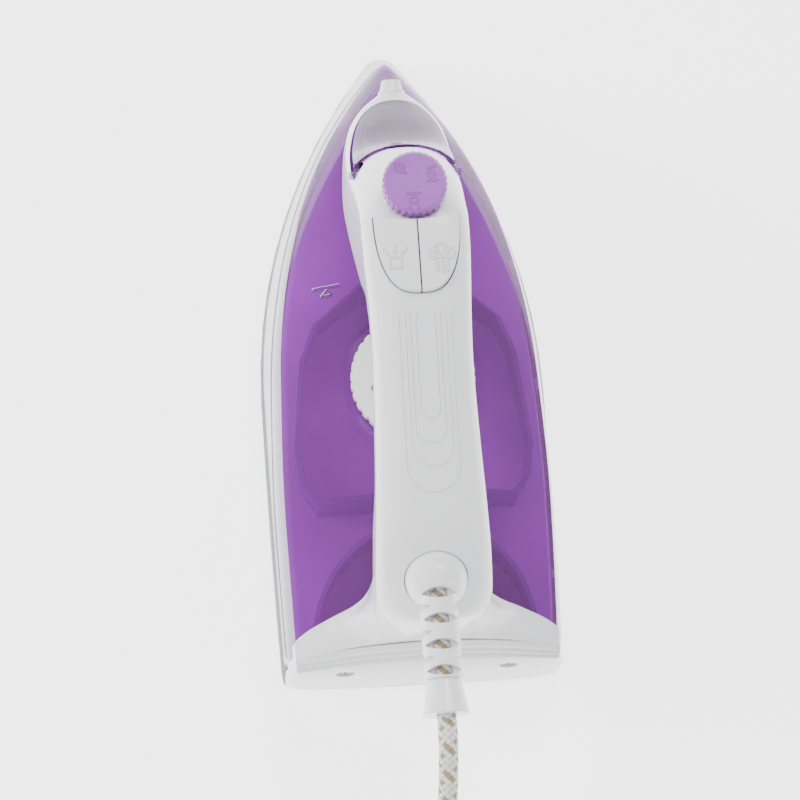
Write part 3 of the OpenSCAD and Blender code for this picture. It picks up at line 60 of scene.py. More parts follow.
KNOB_SEAT_Z, PIVOT_TOP_Z, BALL_Z, GRIP_TOP_Z = 129.0, 110.0, 103.0, 121.5
GRIP_HALF_W, GRIP_DEPTH, HANDLE_WALL, PARTING_DEPTH = 18.8, 25.0, 2.4, 13.0
COLUMN_FOOT_Z = 30.0
COVER_T, COVER_RISE, COVER_GAP, VISOR_CUT_Z = 2.0, 1.4, 0.8, 48.0
SLOPE_TOP_Y, PIVOT_Z, PIVOT_D = 68.0, 93.0, 3.0
VISOR_HALF_W, VISOR_ARC_R = 19.6, 28.5
BUTTON_HALF_W, BUTTON_L, BUTTON_WELL_Z, BUTTON_PROUD, SHIELD_ARC_R = 16.0, 30.0, 120.0, 2.4, 44.4
DIAL_D, DIAL_RECESS_Z, SPINDLE_D = 48.5, 56.5, 6.0
BALL_D, SEAT_TILT, GUARD_L, GUARD_RISE, CORD_D = 23.2, 36.0, 51.0, 3.0, 7.2
HEEL_HALF = SKIRT_FOOT[0] - 0.6
HEEL_SCREW_X, HEEL_SCREW_Z, HEEL_SCREW_D = 32.0, 30.0, 3.5
COIL_CENTRE, COIL_MID_R, COIL_ROWS, TIE_T = (44.0, -292.0), 40.0, 3, 0.8
FIT_GAP, SHAFT_GAP, MOVING_GAP = 0.1, 0.06, 0.4
TANK_FLOOR_Z, SEAM_Z, BODY_TOP_Z = 24.0, 62.0, 136.0
KNOB_R, KNOB_BORE_R, KNOB_BOSS_R, KNOB_BOSS_H = 12.2, 4.5, 11.2, 13.6
SUCTION_X, SUCTION_HOLE_R, SEAL_HOLE_R, WIRE_HOLE_R = 9.0, 1.9, 4.5, 4.5
INLET_Z, INLET_SLOPE, INLET_NECK_R = 74.5, 45.0, 10.55
NOZZLE_Z, NOZZLE_LEAN, NOZZLE_STUB_R, NOZZLE_RIM_R = 52.5, 8.0, 3.1, 5.5
EAR_ROOM_R, PIVOT_REACH, PLUNGER_D = 5.0, 2.0, 5.0
# Height that a cut upwards runs to, past the top of what it cuts
ABOVE_TANK, ABOVE_HANDLE = 90.0, 150.0

CREASE_KEYS = [
    (REAR_Y, 38), (REAR_Y + 50, 42.5), (WIDEST_Y, 43), (TIP_Y - 72, 39),
    (TIP_Y - 32, 33), (TANK_TIP_Y, 26),
]
CROWN_KEYS = [
    (REAR_Y, 44.5), (REAR_Y + 45, 56), (DIAL_Y - 20, 61), (DIAL_Y + 22, 61),
    (TIP_Y - 72, 55), (TIP_Y - 32, 43), (TANK_TIP_Y, 28),
]
HANDLE_TOP_KEYS = [
    (COLUMN_BACK_Y, BALL_Z - 8), (BALL_Y, BALL_Z + 0.8), (BALL_Y + 11, BALL_Z + 8.4),
    (BALL_Y + 22, GRIP_TOP_Z - 5.8), (BALL_Y + 44, GRIP_TOP_Z - 1.8),
    (FRONT_ARCH_Y - 30, GRIP_TOP_Z + 1.5), (FRONT_ARCH_Y - 12, GRIP_TOP_Z + 5.5),
    (FRONT_ARCH_Y + 4, GRIP_TOP_Z + 8.2), (BUTTON_FRONT_Y - 14, GRIP_TOP_Z + 8.8),
    (BUTTON_FRONT_Y, GRIP_TOP_Z + 8.3), (KNOB_Y, KNOB_SEAT_Z - 2.5), (KNOB_Y + 8, KNOB_SEAT_Z - 8),
    (PIVOT_Y, PIVOT_TOP_Z), (PIVOT_Y + 8, 98.5), (SLOPE_TOP_Y, 87), (COVER_FRONT_Y - 10, 72),
    (COVER_FRONT_Y, 62), (HOUSING_FRONT_Y, 58.5),
]
HANDLE_HALF_KEYS = [
    (COLUMN_BACK_Y, 11.8), (COLUMN_BACK_Y + 1.5, 16.3), (COLUMN_BACK_Y + 4, 19.4),
    (COLUMN_BACK_Y + 8, 21.4), (BALL_Y, 22), (BALL_Y + 28, 20.8), (BALL_Y + 48, 19.8),
    (FRONT_ARCH_Y - 20, 18.8), (FRONT_ARCH_Y, 19.1), (BUTTON_FRONT_Y - 12, 20.1), (KNOB_Y, 20.5),
    (PIVOT_Y, 21.5), (PIVOT_Y + 8, 21.5), (INLET_Y - 8, 20.8), (INLET_Y + 4, 18.5),
    (COVER_FRONT_Y, 13), (HOUSING_FRONT_Y, 6.5),
]
FOOT_HALF_KEYS = [
    (COLUMN_BACK_Y, 11.8), (COLUMN_BACK_Y + 1.5, 16.3), (COLUMN_BACK_Y + 4, 18.8), (BALL_Y, 20),
    (REAR_FOOT_Y, 18.8), (FRONT_ARCH_Y, 13.8), (FRONT_FOOT_Y, 14.2), (BUTTON_FRONT_Y - 5, 16.4),
    (KNOB_Y, 20.2), (PIVOT_Y, 22.6), (INLET_Y - 8, 21.5), (INLET_Y + 4, 19.5), (COVER_FRONT_Y, 14),
    (HOUSING_FRONT_Y, 7),
]
DROP_KEYS = [
    (COLUMN_BACK_Y, 14), (FRONT_ARCH_Y - 26, 13), (BUTTON_FRONT_Y, 11), (KNOB_Y, 20), (PIVOT_Y, 30),
    (PIVOT_Y + 15, 24), (COVER_FRONT_Y, 12), (HOUSING_FRONT_Y, 6),
]
POWER_KEYS = [(COLUMN_BACK_Y, 2.7), (BUTTON_FRONT_Y, 2.7), (PIVOT_Y, 2.2), (HOUSING_FRONT_Y, 2.2)]
WING_KEYS = [
    (REAR_Y + 4, 55.1), (REAR_Y + 11, 54.1), (REAR_Y + 17, 47.5), (REAR_Y + 22, 36.5),
    (REAR_Y + 25, 29), (REAR_Y + 29, 23.5), (REAR_Y + 36, 20), (REAR_Y + 46, 18.5),
]
FILLET_KEYS = [(REAR_Y + 4, 2), (REAR_Y + 11, 7), (REAR_Y + 20, 22), (REAR_Y + 46, 26)]
WING_LIFT = 1.8


# ---- Camera, light and floor ---------------------------------------------------------------

AZIMUTH, ELEVATION, ROLL = math.radians(-17.05), math.radians(75.55), math.radians(13.6)
DISTANCE, TARGET = 1300.0, Vector((-4.8, -25.9, 50.0))


def make_camera():
    back = Vector((
        math.sin(AZIMUTH) * math.cos(ELEVATION),
        -math.cos(AZIMUTH) * math.cos(ELEVATION),
        math.sin(ELEVATION),
    ))
    level = (-back).cross(Vector((0, 0, 1))).normalized()
    upright = level.cross(-back)
    right = level * math.cos(ROLL) + upright * math.sin(ROLL)
    up = upright * math.cos(ROLL) - level * math.sin(ROLL)
    camera = bpy.data.objects.new("camera", bpy.data.cameras.new("camera"))
    bpy.context.scene.collection.objects.link(camera)
    place = (TARGET + back * DISTANCE) * MM
    camera.matrix_world = Matrix((
        (right.x, up.x, back.x, place.x),
        (right.y, up.y, back.y, place.y),
        (right.z, up.z, back.z, place.z),
        (0, 0, 0, 1),
    ))
    camera.data.sensor_width = 36
    camera.data.lens = 149.5
    camera.data.clip_end = 20
    bpy.context.scene.camera = camera


make_camera()


def area_light(name, place, aim, size, power, colour=(1, 1, 1)):
    light = bpy.data.lights.new(name, "AREA")
    light.shape = "RECTANGLE"
    light.size, light.size_y = size
    light.energy = power
    light.color = colour
    lamp = bpy.data.objects.new(name, light)
    bpy.context.scene.collection.objects.link(lamp)
    lamp.location = place
    lamp.rotation_euler = (Vector(aim) - Vector(place)).to_track_quat("-Z", "Y").to_euler()
    return lamp


window = area_light("window_left", (-1.5, 0.1, 1.3), (0, 0, 0.05), (0.9, 1.4), 34)
window.visible_glossy = False
area_light("softbox_top", (0.4, 1.3, 1.9), (0, 0, 0.05), (1.2, 0.8), 26)
area_light("fill_right", (1.5, -0.8, 0.9), (0, 0, 0.05), (0.9, 0.9), 5)

world = bpy.data.worlds.new("studio")
bpy.context.scene.world = world
world.use_nodes = True
world.node_tree.nodes["Background"].inputs["Color"].default_value = (0.96, 0.97, 1.0, 1)
world.node_tree.nodes["Background"].inputs["Strength"].default_value = 1.0


# ---- Shader helpers ------------------------------------------------------------------------

def add(tree, kind, values=None, **settings):
    """One shader node; a value that is a socket is linked, any other is set."""
    node = tree.nodes.new(kind)
    for key, value in settings.items():
        setattr(node, key, value)
    for key, value in (values or {}).items():
        if isinstance(value, bpy.types.NodeSocket):
            tree.links.new(value, node.inputs[key])
        else:
            node.inputs[key].default_value = value
    return node


def calc(tree, operation, *values):
    node = add(tree, "ShaderNodeMath", dict(enumerate(values)), operation=operation)
    return node.outputs[0]


def rgba(colour):
    return (*colour, 1.0)


def new_material(name):
    material = bpy.data.materials.new(name)
    material.use_nodes = True
    tree = material.node_tree
    tree.nodes.clear()
    out = add(tree, "ShaderNodeOutputMaterial")
    return material, tree, out


def places(tree):
    """Object coordinates in millimetres: the vector and its x, y and z."""
    coord = add(tree, "ShaderNodeTexCoord").outputs["Object"]
    scaled = add(tree, "ShaderNodeVectorMath", {0: coord, 3: 1000.0}, operation="SCALE").outputs[0]
    split = add(tree, "ShaderNodeSeparateXYZ", {0: scaled})
    return scaled, split.outputs[0], split.outputs[1], split.outputs[2]


def noise(tree, vector, scale, detail=3.0):
    return add(
        tree, "ShaderNodeTexNoise", {"Vector": vector, "Scale": scale, "Detail": detail}
    ).outputs["Fac"]


def mix_colour(tree, share, a, b):
    node = add(tree, "ShaderNodeMix", data_type="RGBA")
    for index, value in ((0, share), (6, a), (7, b)):
        if isinstance(value, bpy.types.NodeSocket):
            tree.links.new(value, node.inputs[index])
        else:
            node.inputs[index].default_value = value
    return node.outputs[2]


def remap(tree, value, low, high, to_low, to_high):
    return add(tree, "ShaderNodeMapRange", {
        "Value": value, "From Min": low, "From Max": high, "To Min": to_low, "To Max": to_high,
    }).outputs[0]


def stroke_distance(tree, x, y, shape):
    """Distance in millimetres from (x, y) to a ring, a line, a dot or the legs of a U."""
    kind = shape[0]
    if kind == "line":
        _, ax, ay, bx, by = shape
        dx, dy = bx - ax, by - ay
        along = calc(tree, "MULTIPLY", calc(tree, "SUBTRACT", x, ax), dx / (dx * dx + dy * dy))
        across = calc(tree, "MULTIPLY", calc(tree, "SUBTRACT", y, ay), dy / (dx * dx + dy * dy))
        share = add(
            tree, "ShaderNodeMath", {0: along, 1: across}, operation="ADD", use_clamp=True
        ).outputs[0]
        px = calc(tree, "SUBTRACT", x, calc(tree, "MULTIPLY_ADD", share, dx, ax))
        py = calc(tree, "SUBTRACT", y, calc(tree, "MULTIPLY_ADD", share, dy, ay))
        radius = 0.0
    elif kind == "u":
        _, cx, bottom, radius = shape
        px = calc(tree, "SUBTRACT", x, cx)
        py = calc(tree, "MINIMUM", calc(tree, "SUBTRACT", y, bottom + radius), 0.0)
    else:
        _, cx, cy, radius = shape
        px = calc(tree, "SUBTRACT", x, cx)
        py = calc(tree, "SUBTRACT", y, cy)
    squares = calc(tree, "MULTIPLY_ADD", px, px, calc(tree, "MULTIPLY", py, py))
    length = calc(tree, "SQRT", squares)
    return calc(tree, "ABSOLUTE", calc(tree, "SUBTRACT", length, radius))


def strokes(tree, x, y, shapes, width):
    """1 on the lines of the shapes and 0 away from them, with soft edges."""
    nearest = None
    for shape in shapes:
        distance = stroke_distance(tree, x, y, shape)
        nearest = distance if nearest is None else calc(tree, "MINIMUM", nearest, distance)
    return remap(tree, nearest, width * 0.35, width * 0.7, 1.0, 0.0)


def bump(tree, height, depth, normal=None, strength=1.0):
    """Normal of a surface raised by depth millimetres where height is 1."""
    values = {"Height": height, "Distance": depth * MM, "Strength": strength}
    if normal is not None:
        values["Normal"] = normal
    return add(tree, "ShaderNodeBump", values).outputs[0]


def soft_edge(tree, radius):
    return add(tree, "ShaderNodeBevel", {"Radius": radius * MM}, samples=4).outputs[0]


def surface(tree, out, colour, roughness, normal, **extra):
    values = {"Base Color": colour, "Roughness": roughness, "Normal": normal}
    values.update({key.replace("_", " "): value for key, value in extra.items()})
    shader = add(tree, "ShaderNodeBsdfPrincipled", values)
    tree.links.new(shader.outputs[0], out.inputs[0])
    return shader


# ---- Materials -----------------------------------------------------------------------------

def plastic(name, colour, shade, roughness, edge=0.35, marks=None, depth=0.0, print_and_shade_colour=None):
    """Moulded plastic: two near tones, a faint orange peel, rounded edges and optional marks, coloured as
    print or as painted shade.
    """
    material, tree, out = new_material(name)
    vector, x, y, z = places(tree)
    tones = remap(tree, noise(tree, vector, 0.05), 0.35, 0.65, 0.0, 1.0)
    base = mix_colour(tree, tones, rgba(colour), rgba(shade))
    rough = remap(tree, noise(tree, vector, 0.6), 0.3, 0.7, roughness * 0.85, roughness * 1.15)
    normal = bump(tree, noise(tree, vector, 0.45, 1.0), 0.012, soft_edge(tree, edge))
    if marks:
        lines = marks(tree, x, y, z)
        # The marks' colour is print on the dial and painted shade on the ribs of the tank's floor.
        if print_and_shade_colour:
            base = mix_colour(tree, lines, base, rgba(print_and_shade_colour))
        normal = bump(tree, lines, depth, normal)
    surface(tree, out, base, rough, normal, Coat_Weight=0.25, Coat_Roughness=0.08)
    return material


def clear_plastic(name, tint, milk, share, roughness, marks=None):
    """Tinted clear plastic: part clear, part milky, with a glossy skin."""
    material, tree, out = new_material(name)
    vector, x, y, z = places(tree)
    flow = remap(tree, noise(tree, vector, 0.02, 2.0), 0.3, 0.7, 0.0, 1.0)
    tone = mix_colour(tree, flow, rgba(tint), rgba([0.92 * c for c in tint]))
    cloud = mix_colour(tree, flow, rgba(milk), rgba([0.85 * c for c in milk]))
    normal = bump(tree, noise(tree, vector, 0.12, 1.0), 0.03)
    if marks:
        lines = marks(tree, x, y, z)
        tone = mix_colour(tree, lines, tone, rgba([0.5 * c for c in tint]))
        normal = bump(tree, lines, 0.3, normal)
    clear = add(tree, "ShaderNodeBsdfTransparent", {"Color": tone})
    body = add(tree, "ShaderNodeBsdfPrincipled", {
        "Base Color": cloud, "Roughness": roughness, "Normal": normal,
    })
    gloss = add(tree, "ShaderNodeBsdfGlossy", {
        "Color": (1, 1, 1, 1), "Roughness": roughness, "Normal": normal,
    })
    mixed = add(tree, "ShaderNodeMixShader", {0: share, 1: clear.outputs[0], 2: body.outputs[0]})
    fresnel = add(tree, "ShaderNodeFresnel", {"IOR": 1.5, "Normal": normal})
    front = calc(tree, "SUBTRACT", 1.0, add(tree, "ShaderNodeNewGeometry").outputs["Backfacing"])
    skin = add(tree, "ShaderNodeMixShader", {
        0: calc(tree, "MULTIPLY", fresnel.outputs[0], front), 1: mixed.outputs[0], 2: gloss.outputs[0],
    })
    tree.links.new(skin.outputs[0], out.inputs[0])
    return material


def metal(name, colour, roughness, grain, edge=0.15):
    """Metal with a fine grain that runs along the body."""
    material, tree, out = new_material(name)
    vector, x, y, z = places(tree)
    stretched = add(tree, "ShaderNodeMapping", {0: vector, 3: (grain, 0.02, grain)}).outputs[0]
    lines = noise(tree, stretched, 1.0)
    base = mix_colour(tree, lines, rgba([0.86 * c for c in colour]), rgba(colour))
    rough = remap(tree, lines, 0.3, 0.7, roughness * 0.8, roughness * 1.25)
    normal = bump(tree, lines, 0.01, soft_edge(tree, edge))
    surface(tree, out, base, rough, normal, Metallic=1.0)
    return material


def rubber(name, colour):
    material, tree, out = new_material(name)
    vector, x, y, z = places(tree)
    speck = noise(tree, vector, 2.0, 6.0)
    base = mix_colour(tree, speck, rgba(colour), rgba([1.6 * c + 0.01 for c in colour]))
    surface(tree, out, base, 0.75, bump(tree, speck, 0.03, soft_edge(tree, 0.2)))
    return material


def braid(name):
    """Woven braid: two families of strands that cross over and under, a few of them khaki."""
    material, tree, out = new_material(name)
    uv = add(tree, "ShaderNodeSeparateXYZ", {0: add(tree, "ShaderNodeTexCoord").outputs["UV"]})
    around, along = uv.outputs[0], uv.outputs[1]
    strands, pitch = 8.0, 0.42
    turn = calc(tree, "MULTIPLY", around, strands)
    rise = calc(tree, "MULTIPLY", along, pitch)
    left = calc(tree, "ADD", turn, rise)
    right = calc(tree, "SUBTRACT", turn, rise)
    cell = calc(tree, "MODULO", calc(
        tree, "ADD", calc(tree, "FLOOR", left), calc(tree, "FLOOR", right)
    ), 2.0)
    over = calc(tree, "ABSOLUTE", cell)
    heights, flecks = [], []
    for line, phase in ((left, 2.0), (right, 5.0)):
        inside = calc(tree, "FRACT", line)
        centred = calc(tree, "SUBTRACT", calc(tree, "MULTIPLY", inside, 2.0), 1.0)
        heights.append(calc(tree, "SUBTRACT", 1.0, calc(tree, "MULTIPLY", centred, centred)))
        number = calc(tree, "FLOORED_MODULO", calc(tree, "FLOOR", line), strands / 2)
        flecks.append(calc(tree, "COMPARE", number, phase % (strands / 2), 0.5))
    height = add(tree, "ShaderNodeMix", {0: over, 2: heights[0], 3: heights[1]}).outputs[0]
    fleck = add(tree, "ShaderNodeMix", {0: over, 2: flecks[0], 3: flecks[1]}).outputs[0]
    vector, x, y, z = places(tree)
    fibres = noise(tree, vector, 4.0, 4.0)
    white = mix_colour(tree, fibres, (0.62, 0.60, 0.55, 1), (0.93, 0.92, 0.88, 1))
    khaki = mix_colour(tree, fibres, (0.20, 0.14, 0.07, 1), (0.50, 0.40, 0.24, 1))
    base = mix_colour(tree, fleck, white, khaki)
    # Painted shade: darker in the dips between strands, where the height runs low.
    shaded = mix_colour(tree, remap(tree, height, 0.0, 0.5, 0.6, 0.0), base, (0.16, 0.14, 0.12, 1))
    normal = bump(tree, height, 0.35, bump(tree, fibres, 0.08))
    surface(tree, out, shaded, 0.7, normal)
    return material


GROOVES = [("u", 1.5, -51.4, 3.6), ("u", 1.3, -60.6, 5.6), ("u", 1.5, -69.1, 7.6), ("u", 1.4, -78.4, 9.8)]


def handle_marks(tree, x, y, z):
    """Four nested U-shaped grooves along the top of the grip."""
    lines = strokes(tree, x, y, GROOVES, 0.9)
    ahead = remap(tree, y, -13.0, -10.5, 1.0, 0.0)
    above = remap(tree, z, 108.0, 110.0, 0.0, 1.0)
    return calc(tree, "MULTIPLY", lines, calc(tree, "MULTIPLY", ahead, above))


SPRAY_SIGN = [
    ("line", -11.0, 8.0, -7.0, 8.0), ("line", -11.0, 4.0, -7.0, 4.0), ("line", -11.0, 4.0, -11.0, 8.0),
    ("line", -7.0, 4.0, -7.0, 8.0), ("line", -9.0, 10.0, -9.0, 12.5), ("line", -6.4, 9.4, -4.6, 11.4),
    ("line", -11.6, 9.4, -13.0, 11.4),
]
BURST_SIGN = [
    ("dot", 8.0, 10.0, 2.6), ("dot", 11.0, 9.0, 2.0), ("dot", 5.4, 8.8, 1.8),
    ("line", 6.4, 5.6, 6.4, 2.4), ("line", 8.4, 5.6, 8.4, 1.6), ("line", 10.4, 5.6, 10.4, 2.4),
]
KNOB_SIGNS = [
    ("dot", -5.5, 41.5, 1.6), ("line", -7.6, 43.6, -3.4, 39.4),
    ("dot", 6.2, 38.5, 1.2), ("line", 4.6, 36.0, 8.2, 36.0), ("line", 5.0, 40.8, 7.6, 41.6),
    ("dot", -1.0, 28.8, 1.3), ("line", -3.2, 31.4, 1.4, 31.4),
    ("line", -2.6, 26.2, -2.6, 25.6), ("line", 0.6, 26.2, 0.6, 25.6),
]


def button_marks(tree, x, y, z):
    return strokes(tree, x, y, SPRAY_SIGN + BURST_SIGN, 0.8)


def knob_marks(tree, x, y, z):
    lines = strokes(tree, x, y, KNOB_SIGNS, 0.7)
    return calc(tree, "MULTIPLY", lines, remap(tree, z, 135.0, 135.6, 0.0, 1.0))


def dial_marks(tree, x, y, z):
    """Heat steps round the dial: groups of one to three dots, a ring for off, and a scale."""
    shapes = []
    for step, count in ((0, 0), (1, 1), (2, 2), (3, 3)):
        angle = math.radians(195 - 50 * step)
        if count == 0:
            shapes.append(("dot", 14.9 * math.cos(angle), DIAL_Y + 14.9 * math.sin(angle), 1.6))
        for i in range(count):
            here = angle + math.radians(13) * (i - (count - 1) / 2)
            cx, cy = 14.9 * math.cos(here), DIAL_Y + 14.9 * math.sin(here)
            shapes.append(("dot", cx, cy, 0.6))
    for tick in range(5):
        angle = math.radians(205 + 14 * tick)
        reach = 12.4 + 0.5 * tick
        shapes.append((
            "line", reach * math.cos(angle), DIAL_Y + reach * math.sin(angle),
            16.0 * math.cos(angle), DIAL_Y + 16.0 * math.sin(angle),
        ))
    lines = strokes(tree, x, y, shapes, 1.1)
    return calc(tree, "MULTIPLY", lines, remap(tree, z, 60.0, 60.4, 0.0, 1.0))


def level_marks(tree, x, y, z):
    """Highest water level: a line with a small triangle under it."""
    return strokes(tree, x, y, [
        ("line", -36.0, 20.6, -26.0, 20.6), ("line", -33.0, 17.0, -31.0, 19.2),
        ("line", -31.0, 19.2, -29.0, 17.0), ("line", -33.0, 17.0, -29.0, 17.0),
    ], 0.7)


def rib_shade_marks(tree, x, y, z):
    """1 on the upright ribs of the tank's floor, above its base, where the ribs are darkened as painted
    shade.
    """
    return remap(tree, z, 26.5, 28.5, 0.0, 1.0)


def floor_material():
    material, tree, out = new_material("floor_paper")
    vector, x, y, z = places(tree)
    grain = noise(tree, vector, 0.5, 4.0)
    base = mix_colour(tree, grain, (0.985, 0.985, 0.985, 1), (0.995, 0.995, 0.995, 1))
    shader = surface(tree, out, base, 0.9, bump(tree, grain, 0.01))
    shader.inputs["Emission Color"].default_value = (1, 1, 1, 1)
    shader.inputs["Emission Strength"].default_value = 2.2
    return material


WHITE = plastic("white_gloss", (0.86, 0.86, 0.87), (0.84, 0.84, 0.86), 0.22)
WHITE_GRIP = plastic("white_handle", (0.86, 0.86, 0.87), (0.84, 0.84, 0.86), 0.2,
                     marks=handle_marks, depth=-0.3)
WHITE_KEYS = plastic("white_keys", (0.86, 0.86, 0.87), (0.84, 0.84, 0.86), 0.24, 0.9,
                     marks=button_marks, depth=0.6)
WHITE_DIAL = plastic("white_dial", (0.86, 0.86, 0.86), (0.83, 0.83, 0.84), 0.28, 0.5,
                     marks=dial_marks, depth=0.0, print_and_shade_colour=(0.05, 0.045, 0.06))
HEEL_WHITE = plastic("heel_white", (0.84, 0.84, 0.85), (0.80, 0.80, 0.82), 0.26, 0.6)
INNER = plastic("inner_plastic", (0.74, 0.74, 0.72), (0.68, 0.68, 0.66), 0.45)
GREY = plastic("grey_band", (0.66, 0.66, 0.69), (0.60, 0.60, 0.64), 0.3)
PURPLE = plastic("purple_knob", (0.36, 0.09, 0.48), (0.31, 0.07, 0.43), 0.26, 0.5,
                 marks=knob_marks, depth=0.5)
# Painted shade: the ribs of the tank's floor are coloured dark purple.
PURPLE_INNER = plastic("purple_inner", (0.58, 0.20, 0.70), (0.52, 0.16, 0.64), 0.35,
                       marks=rib_shade_marks, print_and_shade_colour=(0.14, 0.02, 0.24))
TANK = clear_plastic("clear_purple", (0.84, 0.50, 0.91), (0.40, 0.05, 0.50), 0.14, 0.08,
                     marks=level_marks)
FUNNEL = clear_plastic("clear_funnel", (0.60, 0.34, 0.74), (0.36, 0.14, 0.50), 0.30, 0.10)
SMOKE = clear_plastic("smoked_cover", (0.78, 0.58, 0.86), (0.34, 0.20, 0.44), 0.08, 0.06)
SOLE = metal("sole_metal", (0.80, 0.80, 0.82), 0.22, 0.5)
CAST = metal("cast_metal", (0.58, 0.58, 0.60), 0.5, 0.3)
STEEL = metal("steel", (0.72, 0.72, 0.74), 0.25, 1.5)
BRASS = metal("brass", (0.80, 0.62, 0.30), 0.28, 1.5)
RUBBER = rubber("rubber", (0.03, 0.03, 0.035))
BRAID = braid("braid")
TIE = rubber("tie", (0.012, 0.012, 0.014))
LIVE = rubber("live_cover", (0.20, 0.09, 0.04))
NEUTRAL = rubber("neutral_cover", (0.03, 0.10, 0.42))
EARTH = rubber("earth_cover", (0.25, 0.42, 0.04))

BY_SLOT = {
    "sole_metal": SOLE, "cast_alloy": CAST, "plain_steel": STEEL, "brass_parts": BRASS,
    "seal_rubber": RUBBER, "white_plastic": WHITE, "inner_plastic": INNER, "grey_plastic": GREY,
    "clear_purple": TANK, "solid_purple": PURPLE_INNER, "smoked_purple": SMOKE, "braid": BRAID,
    "tie_plastic": TIE, "live_cover": LIVE, "neutral_cover": NEUTRAL, "earth_cover": EARTH,
}
BY_NODE = {"steam_knob": PURPLE, "fill_funnel": FUNNEL, "thermostat_dial": WHITE_DIAL}


def dress_cad():
    for entry in frame["record"]["subparts"]:
        piece = nodes[entry["node"]]
        material = BY_NODE.get(entry["node"], BY_SLOT[entry["material_slot"]])
        piece.data.materials.clear()
        piece.data.materials.append(material)


dress_cad()


# ---- Mesh helpers --------------------------------------------------------------------------

def mesh_object(name, points, faces):
    mesh = bpy.data.meshes.new(name)
    mesh.from_pydata([(x * MM, y * MM, z * MM) for x, y, z in points], [], faces)
    mesh.update()
    piece = bpy.data.objects.new(name, mesh)
    bpy.context.scene.collection.objects.link(piece)
    return piece


def loft(name, rings):
    """Closed solid through rings of equally many points, turning the same way."""
    n, m = len(rings[0]), len(rings)
    points = [p for ring in rings for p in ring]
    faces = [tuple(range(n - 1, -1, -1)), tuple(range((m - 1) * n, m * n))]
    for j in range(m - 1):
        for i in range(n):
            k = (i + 1) % n
            faces.append((j * n + i, j * n + k, (j + 1) * n + k, (j + 1) * n + i))
    piece = mesh_object(name, points, faces)
    if signed_volume(piece) < 0:
        piece.data.flip_normals()
    return piece


def signed_volume(piece):
    mesh = piece.data
    mesh.calc_loop_triangles()
    points = np.array([v.co for v in mesh.vertices])
    corners = np.array([t.vertices for t in mesh.loop_triangles])
    a, b, c = points[corners[:, 0]], points[corners[:, 1]], points[corners[:, 2]]
    return float(np.einsum("ij,ij->i", a, np.cross(b, c)).sum()) / 6


def prism(name, outline, low, high):
    return loft(name, [[(x, y, low) for x, y in outline], [(x, y, high) for x, y in outline]])


def rod(name, start, end, radius, end_radius=None, sides=96):
    start, end = Vector(start), Vector(end)
    axis = (end - start).normalized()
    side = axis.orthogonal().normalized()
    other = axis.cross(side)
    rings = []
    for place, r in ((start, radius), (end, radius if end_radius is None else end_radius)):
        rings.append([
            tuple(place + side * r * math.cos(t) + other * r * math.sin(t))
            for t in (2 * math.pi * i / sides for i in range(sides))
        ])
    return loft(name, rings)


def boolean(piece, cutter, operation="DIFFERENCE", keep=False):
    change = piece.modifiers.new("change", "BOOLEAN")
    change.operation = operation
    change.solver = "MANIFOLD"
    change.object = cutter
    graph = bpy.context.evaluated_depsgraph_get()
    result = bpy.data.meshes.new_from_object(piece.evaluated_get(graph))
    piece.modifiers.clear()
    old = piece.data
    piece.data = result
    bpy.data.meshes.remove(old)
    if not keep:
        bpy.data.objects.remove(cutter)


def complete(piece, material, body, *replaced, angle=32):
    """Smooth shading with sharp edges kept, its material, and its place in the frame."""
    mesh = piece.data
    mesh.shade_smooth()
    mesh.set_sharp_from_angle(angle=math.radians(angle))
    mesh.materials.clear()
    mesh.materials.append(material)
    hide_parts(*replaced)
    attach(piece, body)
    return piece


# ---- Curves and outlines, as in the CAD model ------------------------------------------------

def key_slope(keys, i):
    a, b = max(i - 1, 0), min(i + 1, len(keys) - 1)
    return (keys[b][1] - keys[a][1]) / (keys[b][0] - keys[a][0])


def curve(keys, at):
    i = 0
    while i < len(keys) - 2 and at > keys[i + 1][0]:
        i += 1
    span = keys[i + 1][0] - keys[i][0]
    t = min(1, max(0, (at - keys[i][0]) / span))
    lean_in, lean_out = key_slope(keys, i) * span, key_slope(keys, i + 1) * span
    return (
        keys[i][1] * (1 - 3 * t * t + 2 * t**3) + keys[i + 1][1] * (3 * t * t - 2 * t**3)
        + lean_in * (t - 2 * t * t + t**3) + lean_out * (t**3 - t * t)
    )


def finer(values, step):
    """The same places with even steps of at most the given size between them."""
    out = [values[0]]
    for a, b in zip(values, values[1:]):
        parts = max(1, math.ceil((b - a) / step))
        out += [a + (b - a) * i / parts for i in range(1, parts + 1)]
    return out


def mirrored_ring(y, profile):
    right = [(x, y, z) for x, z in profile]
    left = [(-x, y, z) for x, z in reversed(profile[:-1])]
    return [(0, y, profile[0][1])] + right + left


def shoulder(half, top, drop, power, steps=20):
    out = []
    for i in range(steps + 1):
        t = math.pi / 2 * i / steps
        c, s = max(0, math.cos(t)), math.sin(t)
        out.append((half * c ** (2 / power), top - drop + drop * s ** (2 / power)))
    return out


def side_radius(half, tip, r):
    return ((tip - r - WIDEST_Y) ** 2 + half * half - r * r) / (2 * (half - r))


def fillet_start(half, tip, r):
    return tip - r + r * (tip - r - WIDEST_Y) / (side_radius(half, tip, r) - r)


def waist_share(y):
    low, high = REAR_Y + 60, TIP_Y - 20
    return 0 if y < low or y > high else math.sin(math.pi * (y - low) / (high - low)) ** 2


def outline_half(y, half, tip, r, waist=0):
    big = side_radius(half, tip, r)
    if y > fillet_start(half, tip, r):
        reach = math.sqrt(max(0, r * r - (y - tip + r) ** 2))
    elif y > WIDEST_Y:
        reach = half - big + math.sqrt(big * big - (y - WIDEST_Y) ** 2)
    else:
        reach = half - REAR_NARROWING * ((WIDEST_Y - y) / (WIDEST_Y - REAR_Y)) ** 2
    return reach - waist * waist_share(y)


